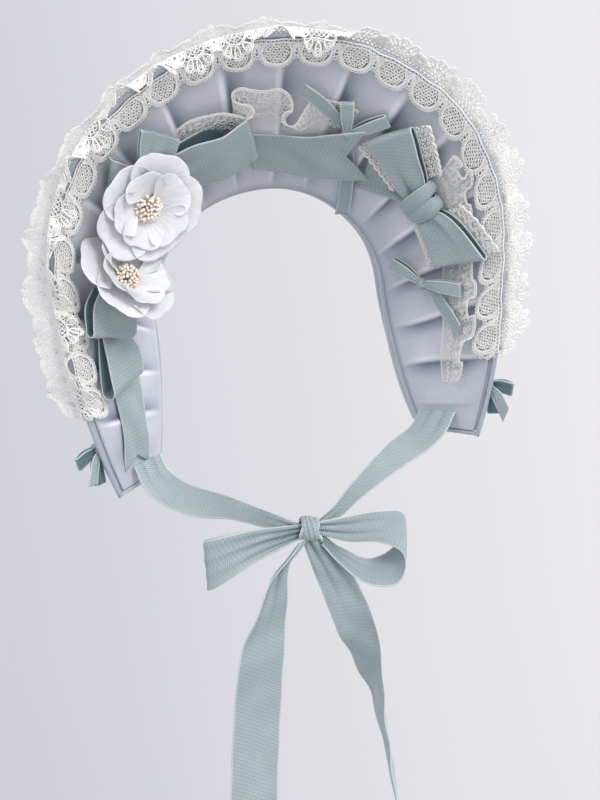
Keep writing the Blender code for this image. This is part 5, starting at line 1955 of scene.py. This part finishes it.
@dataclass
class ChinBow:
    """The ribbon that ties under the chin."""

    finishes: Finishes
    centre: Triple = (-0.0090, -0.1035, -0.2440)
    axis: Triple = (1.0, 0.0, -0.15)
    upward: Triple = (0.0, -1.0, 0.0)
    cut_depth: float = 0.014
    wraps: tuple[Wrap, ...] = (Wrap("front", 0.0115, 0.0088, 0.0090, 14.0, 0.0, 3.2),
                               Wrap("back", 0.0135, 0.0080, 0.0082, -16.0, -0.0010, 2.4))

    def build(self) -> None:
        """Make and dress the straps, loops, tails and knot."""
        for strip in CHIN_STRIPS:
            grid, shade = strip.gather.shape(hanging_grid(strip.rows, 22, 14))
            grid = trim_end(grid, strip.cut, self.cut_depth)
            piece = cloth(f"{strip.node}_ribbon", grid, RIBBON_WALL, self.finishes.ribbon, shade=shade)
            dress(piece, [strip.node], WIDE_RIBBON, strip.held)
        wrap_knot("chin_knot", self.wraps, np.array(self.centre), np.array(self.axis),
                  np.array(self.upward), self.finishes.ribbon)


@dataclass
class Studio:
    """A pale floor with painted light, darker to the left and brighter to the right, soft light, and the
    camera at the photograph's angle.
    """

    floor_z: float = -0.80
    floor_radius: float = 60.0
    azimuth: float = -8.6
    elevation: float = 12.0
    roll: float = -7.5
    distance: float = 1.6
    focal_pixels: float = 2116.0
    target: Triple = (0.0, -0.050, -0.130)
    centre_pixels: tuple[float, float] = (288.8, 364.1)
    image: tuple[int, int] = (600, 800)
    sensor: float = 36.0

    def build(self) -> None:
        """Set up the floor, the light and the camera."""
        self.build_floor()
        self.build_lights()
        self.build_camera()

    def build_floor(self) -> None:
        """A wide pale floor, with painted light: darker towards the left and brighter towards the right."""
        made, tree = start_material("pale_floor")
        place = tree.add("ShaderNodeTexCoord").outputs["Object"]
        parts = tree.add("ShaderNodeSeparateXYZ", {"Vector": place})
        # Painted light falloff: the colour goes from darker at the left to brighter at the right.
        bearing = tree.math("ARCTAN2", tree.math("ADD", parts.outputs["X"], 0.24),
                            tree.math("ADD", parts.outputs["Y"], 1.6))
        share = tree.math("MULTIPLY", tree.math("SINE", bearing), 3.5)
        tree.finish({"Base Color": tree.mix(share, colour(168, 169, 173), colour(192, 190, 192)),
                     "Roughness": 0.9, "Specular IOR Level": 0.1})
        mesh = bpy.data.meshes.new("floor")
        corners = [(self.floor_radius * math.cos(a), self.floor_radius * math.sin(a), self.floor_z)
                   for a in circle(48)]
        mesh.from_pydata(corners, [], [list(range(len(corners)))])
        mesh.materials.append(made)
        link("floor", mesh)

    def add_light(self, name: str, place: tuple, spread: float, power: float, tint: tuple) -> None:
        """A far and wide soft light that looks at the bonnet."""
        light = bpy.data.lights.new(name, "SUN")
        light.angle = math.radians(spread)
        light.energy = power
        light.color = tint
        lamp = link(name, light)
        lamp.location = place
        aim = Vector(self.target) - Vector(place)
        lamp.rotation_euler = aim.to_track_quat("-Z", "Y").to_euler()

    def build_lights(self) -> None:
        """A bright room with a large light in front, a weak one at the left and one behind."""
        world = bpy.data.worlds.new("room")
        world.use_nodes = True
        back = world.node_tree.nodes["Background"]
        back.inputs["Color"].default_value = colour(240, 241, 246)
        back.inputs["Strength"].default_value = 0.90
        bpy.context.scene.world = world
        self.add_light("front_window", (1.9, -3.4, 2.6), 26.0, 1.65, (1.0, 0.995, 0.985))
        self.add_light("left_fill", (-3.0, -3.2, 3.8), 40.0, 0.7, (1.0, 0.99, 0.97))
        self.add_light("right_back", (3.6, 1.8, 2.0), 40.0, 2.4, (0.98, 0.985, 1.0))
        settings = bpy.context.scene.view_settings
        settings.view_transform = "Standard"
        settings.look = "None"
        settings.exposure = 0.0

    def build_camera(self) -> None:
        """Put the camera where the photograph was taken from."""
        az, el, roll = (math.radians(v) for v in (self.azimuth, self.elevation, self.roll))
        back = np.array([math.sin(az) * math.cos(el), -math.cos(az) * math.cos(el), math.sin(el)])
        right = np.array([math.cos(az), math.sin(az), 0.0])
        up = np.cross(back, right)
        across = math.cos(roll) * right + math.sin(roll) * up
        upward = -math.sin(roll) * right + math.cos(roll) * up
        place = np.array(self.target) + self.distance * back
        scale = self.distance / self.focal_pixels
        aim = (np.array(self.target) + across * (self.image[0] / 2 - self.centre_pixels[0]) * scale
               - upward * (self.image[1] / 2 - self.centre_pixels[1]) * scale)
        back = unit(place - aim)
        across = unit(np.cross(upward, back))
        upward = np.cross(back, across)
        data = bpy.data.cameras.new("camera")
        data.sensor_fit = "AUTO"
        data.sensor_width = self.sensor
        data.lens = self.focal_pixels * self.sensor / self.image[1]
        data.clip_start = 0.01
        data.clip_end = 200.0
        camera = link("camera", data)
        camera.matrix_world = Matrix((
            (across[0], upward[0], back[0], place[0]), (across[1], upward[1], back[1], place[1]),
            (across[2], upward[2], back[2], place[2]), (0.0, 0.0, 0.0, 1.0)))
        bpy.context.scene.camera = camera


def build_finishes() -> Finishes:
    """Make every material of the bonnet."""
    kit = ShaderKit()
    tulle = SheerFinish(kit, "off_white_tulle", colour(246, 245, 242), colour(236, 235, 232),
                        open_share=0.70, pitch=0.0016, rim_width=0.0010)
    organza = SheerFinish(kit, "white_organza", colour(240, 241, 242), colour(224, 226, 230),
                          open_share=0.14, pitch=0.0004, rim_width=0.0016, vein=0.34, rough=0.6)
    binding = SatinFinish(kit, "satin_binding", colour(184, 190, 200), colour(150, 160, 175),
                          colour(96, 108, 126), rough=0.34)
    stamen = ThreadFinish(kit, "cream_stamens", colour(254, 247, 239), colour(236, 217, 196), 0.42, 900.0)
    stem = ThreadFinish(kit, "stamen_stems", colour(222, 202, 178), colour(182, 156, 128), 0.6, 900.0)
    stitch = ThreadFinish(kit, "satin_stitches", colour(196, 204, 218), colour(170, 180, 200), 0.5, 1600.0)
    return Finishes(satin=SatinFinish(kit).material(), binding=binding.material(),
                    ribbon=RibbonFinish(kit).material(), lace=ThreadFinish(kit).material(),
                    tulle=tulle.material(), organza=organza.material(), stamen=stamen.material(),
                    stem=stem.material(), stitch=stitch.material())


def build_narrow_bows(finishes: Finishes) -> None:
    """Make the four small bows."""
    NarrowBow(finishes, name="top_narrow_bow", around=0.206, out=0.515, floor=0.0036, side=1.0,
              loops=(Reach(114, 0.030), Reach(58, 0.034)),
              tails=(Reach(143, 0.061, 0.009), Reach(-62, 0.088))).build()
    NarrowBow(finishes, name="right_narrow_bow", around=0.622, out=0.385, floor=0.0052, side=1.0,
              loops=(Reach(-128, 0.030), Reach(91, 0.036)),
              tails=(Reach(50, 0.048, 0.006),)).build()
    NarrowBow(finishes, name="left_edge_bow", around=-0.905, out=0.97, floor=SHELL_BACK, side=-1.0,
              loops=(Reach(80, 0.024), Reach(150, 0.025)),
              tails=(Reach(115, 0.032), Reach(185, 0.036))).build()
    NarrowBow(finishes, name="right_edge_bow", around=0.905, out=0.97, floor=SHELL_BACK, side=-1.0,
              loops=(Reach(100, 0.020), Reach(30, 0.022)),
              tails=(Reach(65, 0.032),)).build()


def build_frills(finishes: Finishes, threads: ThreadMaker) -> None:
    """Make the ruffles inside the brim, at the top and down the right side."""
    roots = np.linspace(-0.165, 0.200, len(TOP_FRILL_EDGE))
    top = tuple(Ruffle(float(root), TOP_FRILL_ROOT, out, up, around - float(root))
                for root, (around, out, up) in zip(roots, TOP_FRILL_EDGE))
    InnerFrill(finishes, "inner_frill_top", top, 3.5, 0.0, 0.0, 30).build(threads)
    right = tuple(Ruffle(*row) for row in RIGHT_FRILL)
    InnerFrill(finishes, "inner_frill_right", right, 6.5, 0.045, 0.009, 26).build(threads)


def main() -> None:
    """Build the studio and the bonnet, in order."""
    logging.basicConfig(level=logging.INFO, format="%(name)s: %(message)s")
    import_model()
    Studio().build()
    finishes = build_finishes()
    threads, scatter = ThreadMaker(), Scatter()
    BrimCloth(finishes).build(scatter)
    EdgeLace(finishes).build(threads)
    build_frills(finishes, threads)
    WideBows(finishes).build(threads)
    build_narrow_bows(finishes)
    OrganzaFlower(finishes, name="upper_flower", around=-0.300, out=0.580, up=0.0246,
                  face=(0.05, 0.35, 0.93), radius=0.042, roll=18,
                  nudge=(-0.008, 0.0, -0.008)).build(scatter)
    OrganzaFlower(finishes, name="lower_flower", around=-0.505, out=0.640, up=0.0226,
                  face=(0.70, 0.12, 0.70), radius=0.041, roll=55, seed=8, inner_cup=0.017,
                  nudge=(0.003, 0.0, -0.009)).build(scatter)
    ChinBow(finishes).build()


if __name__ == "__main__":
    main()
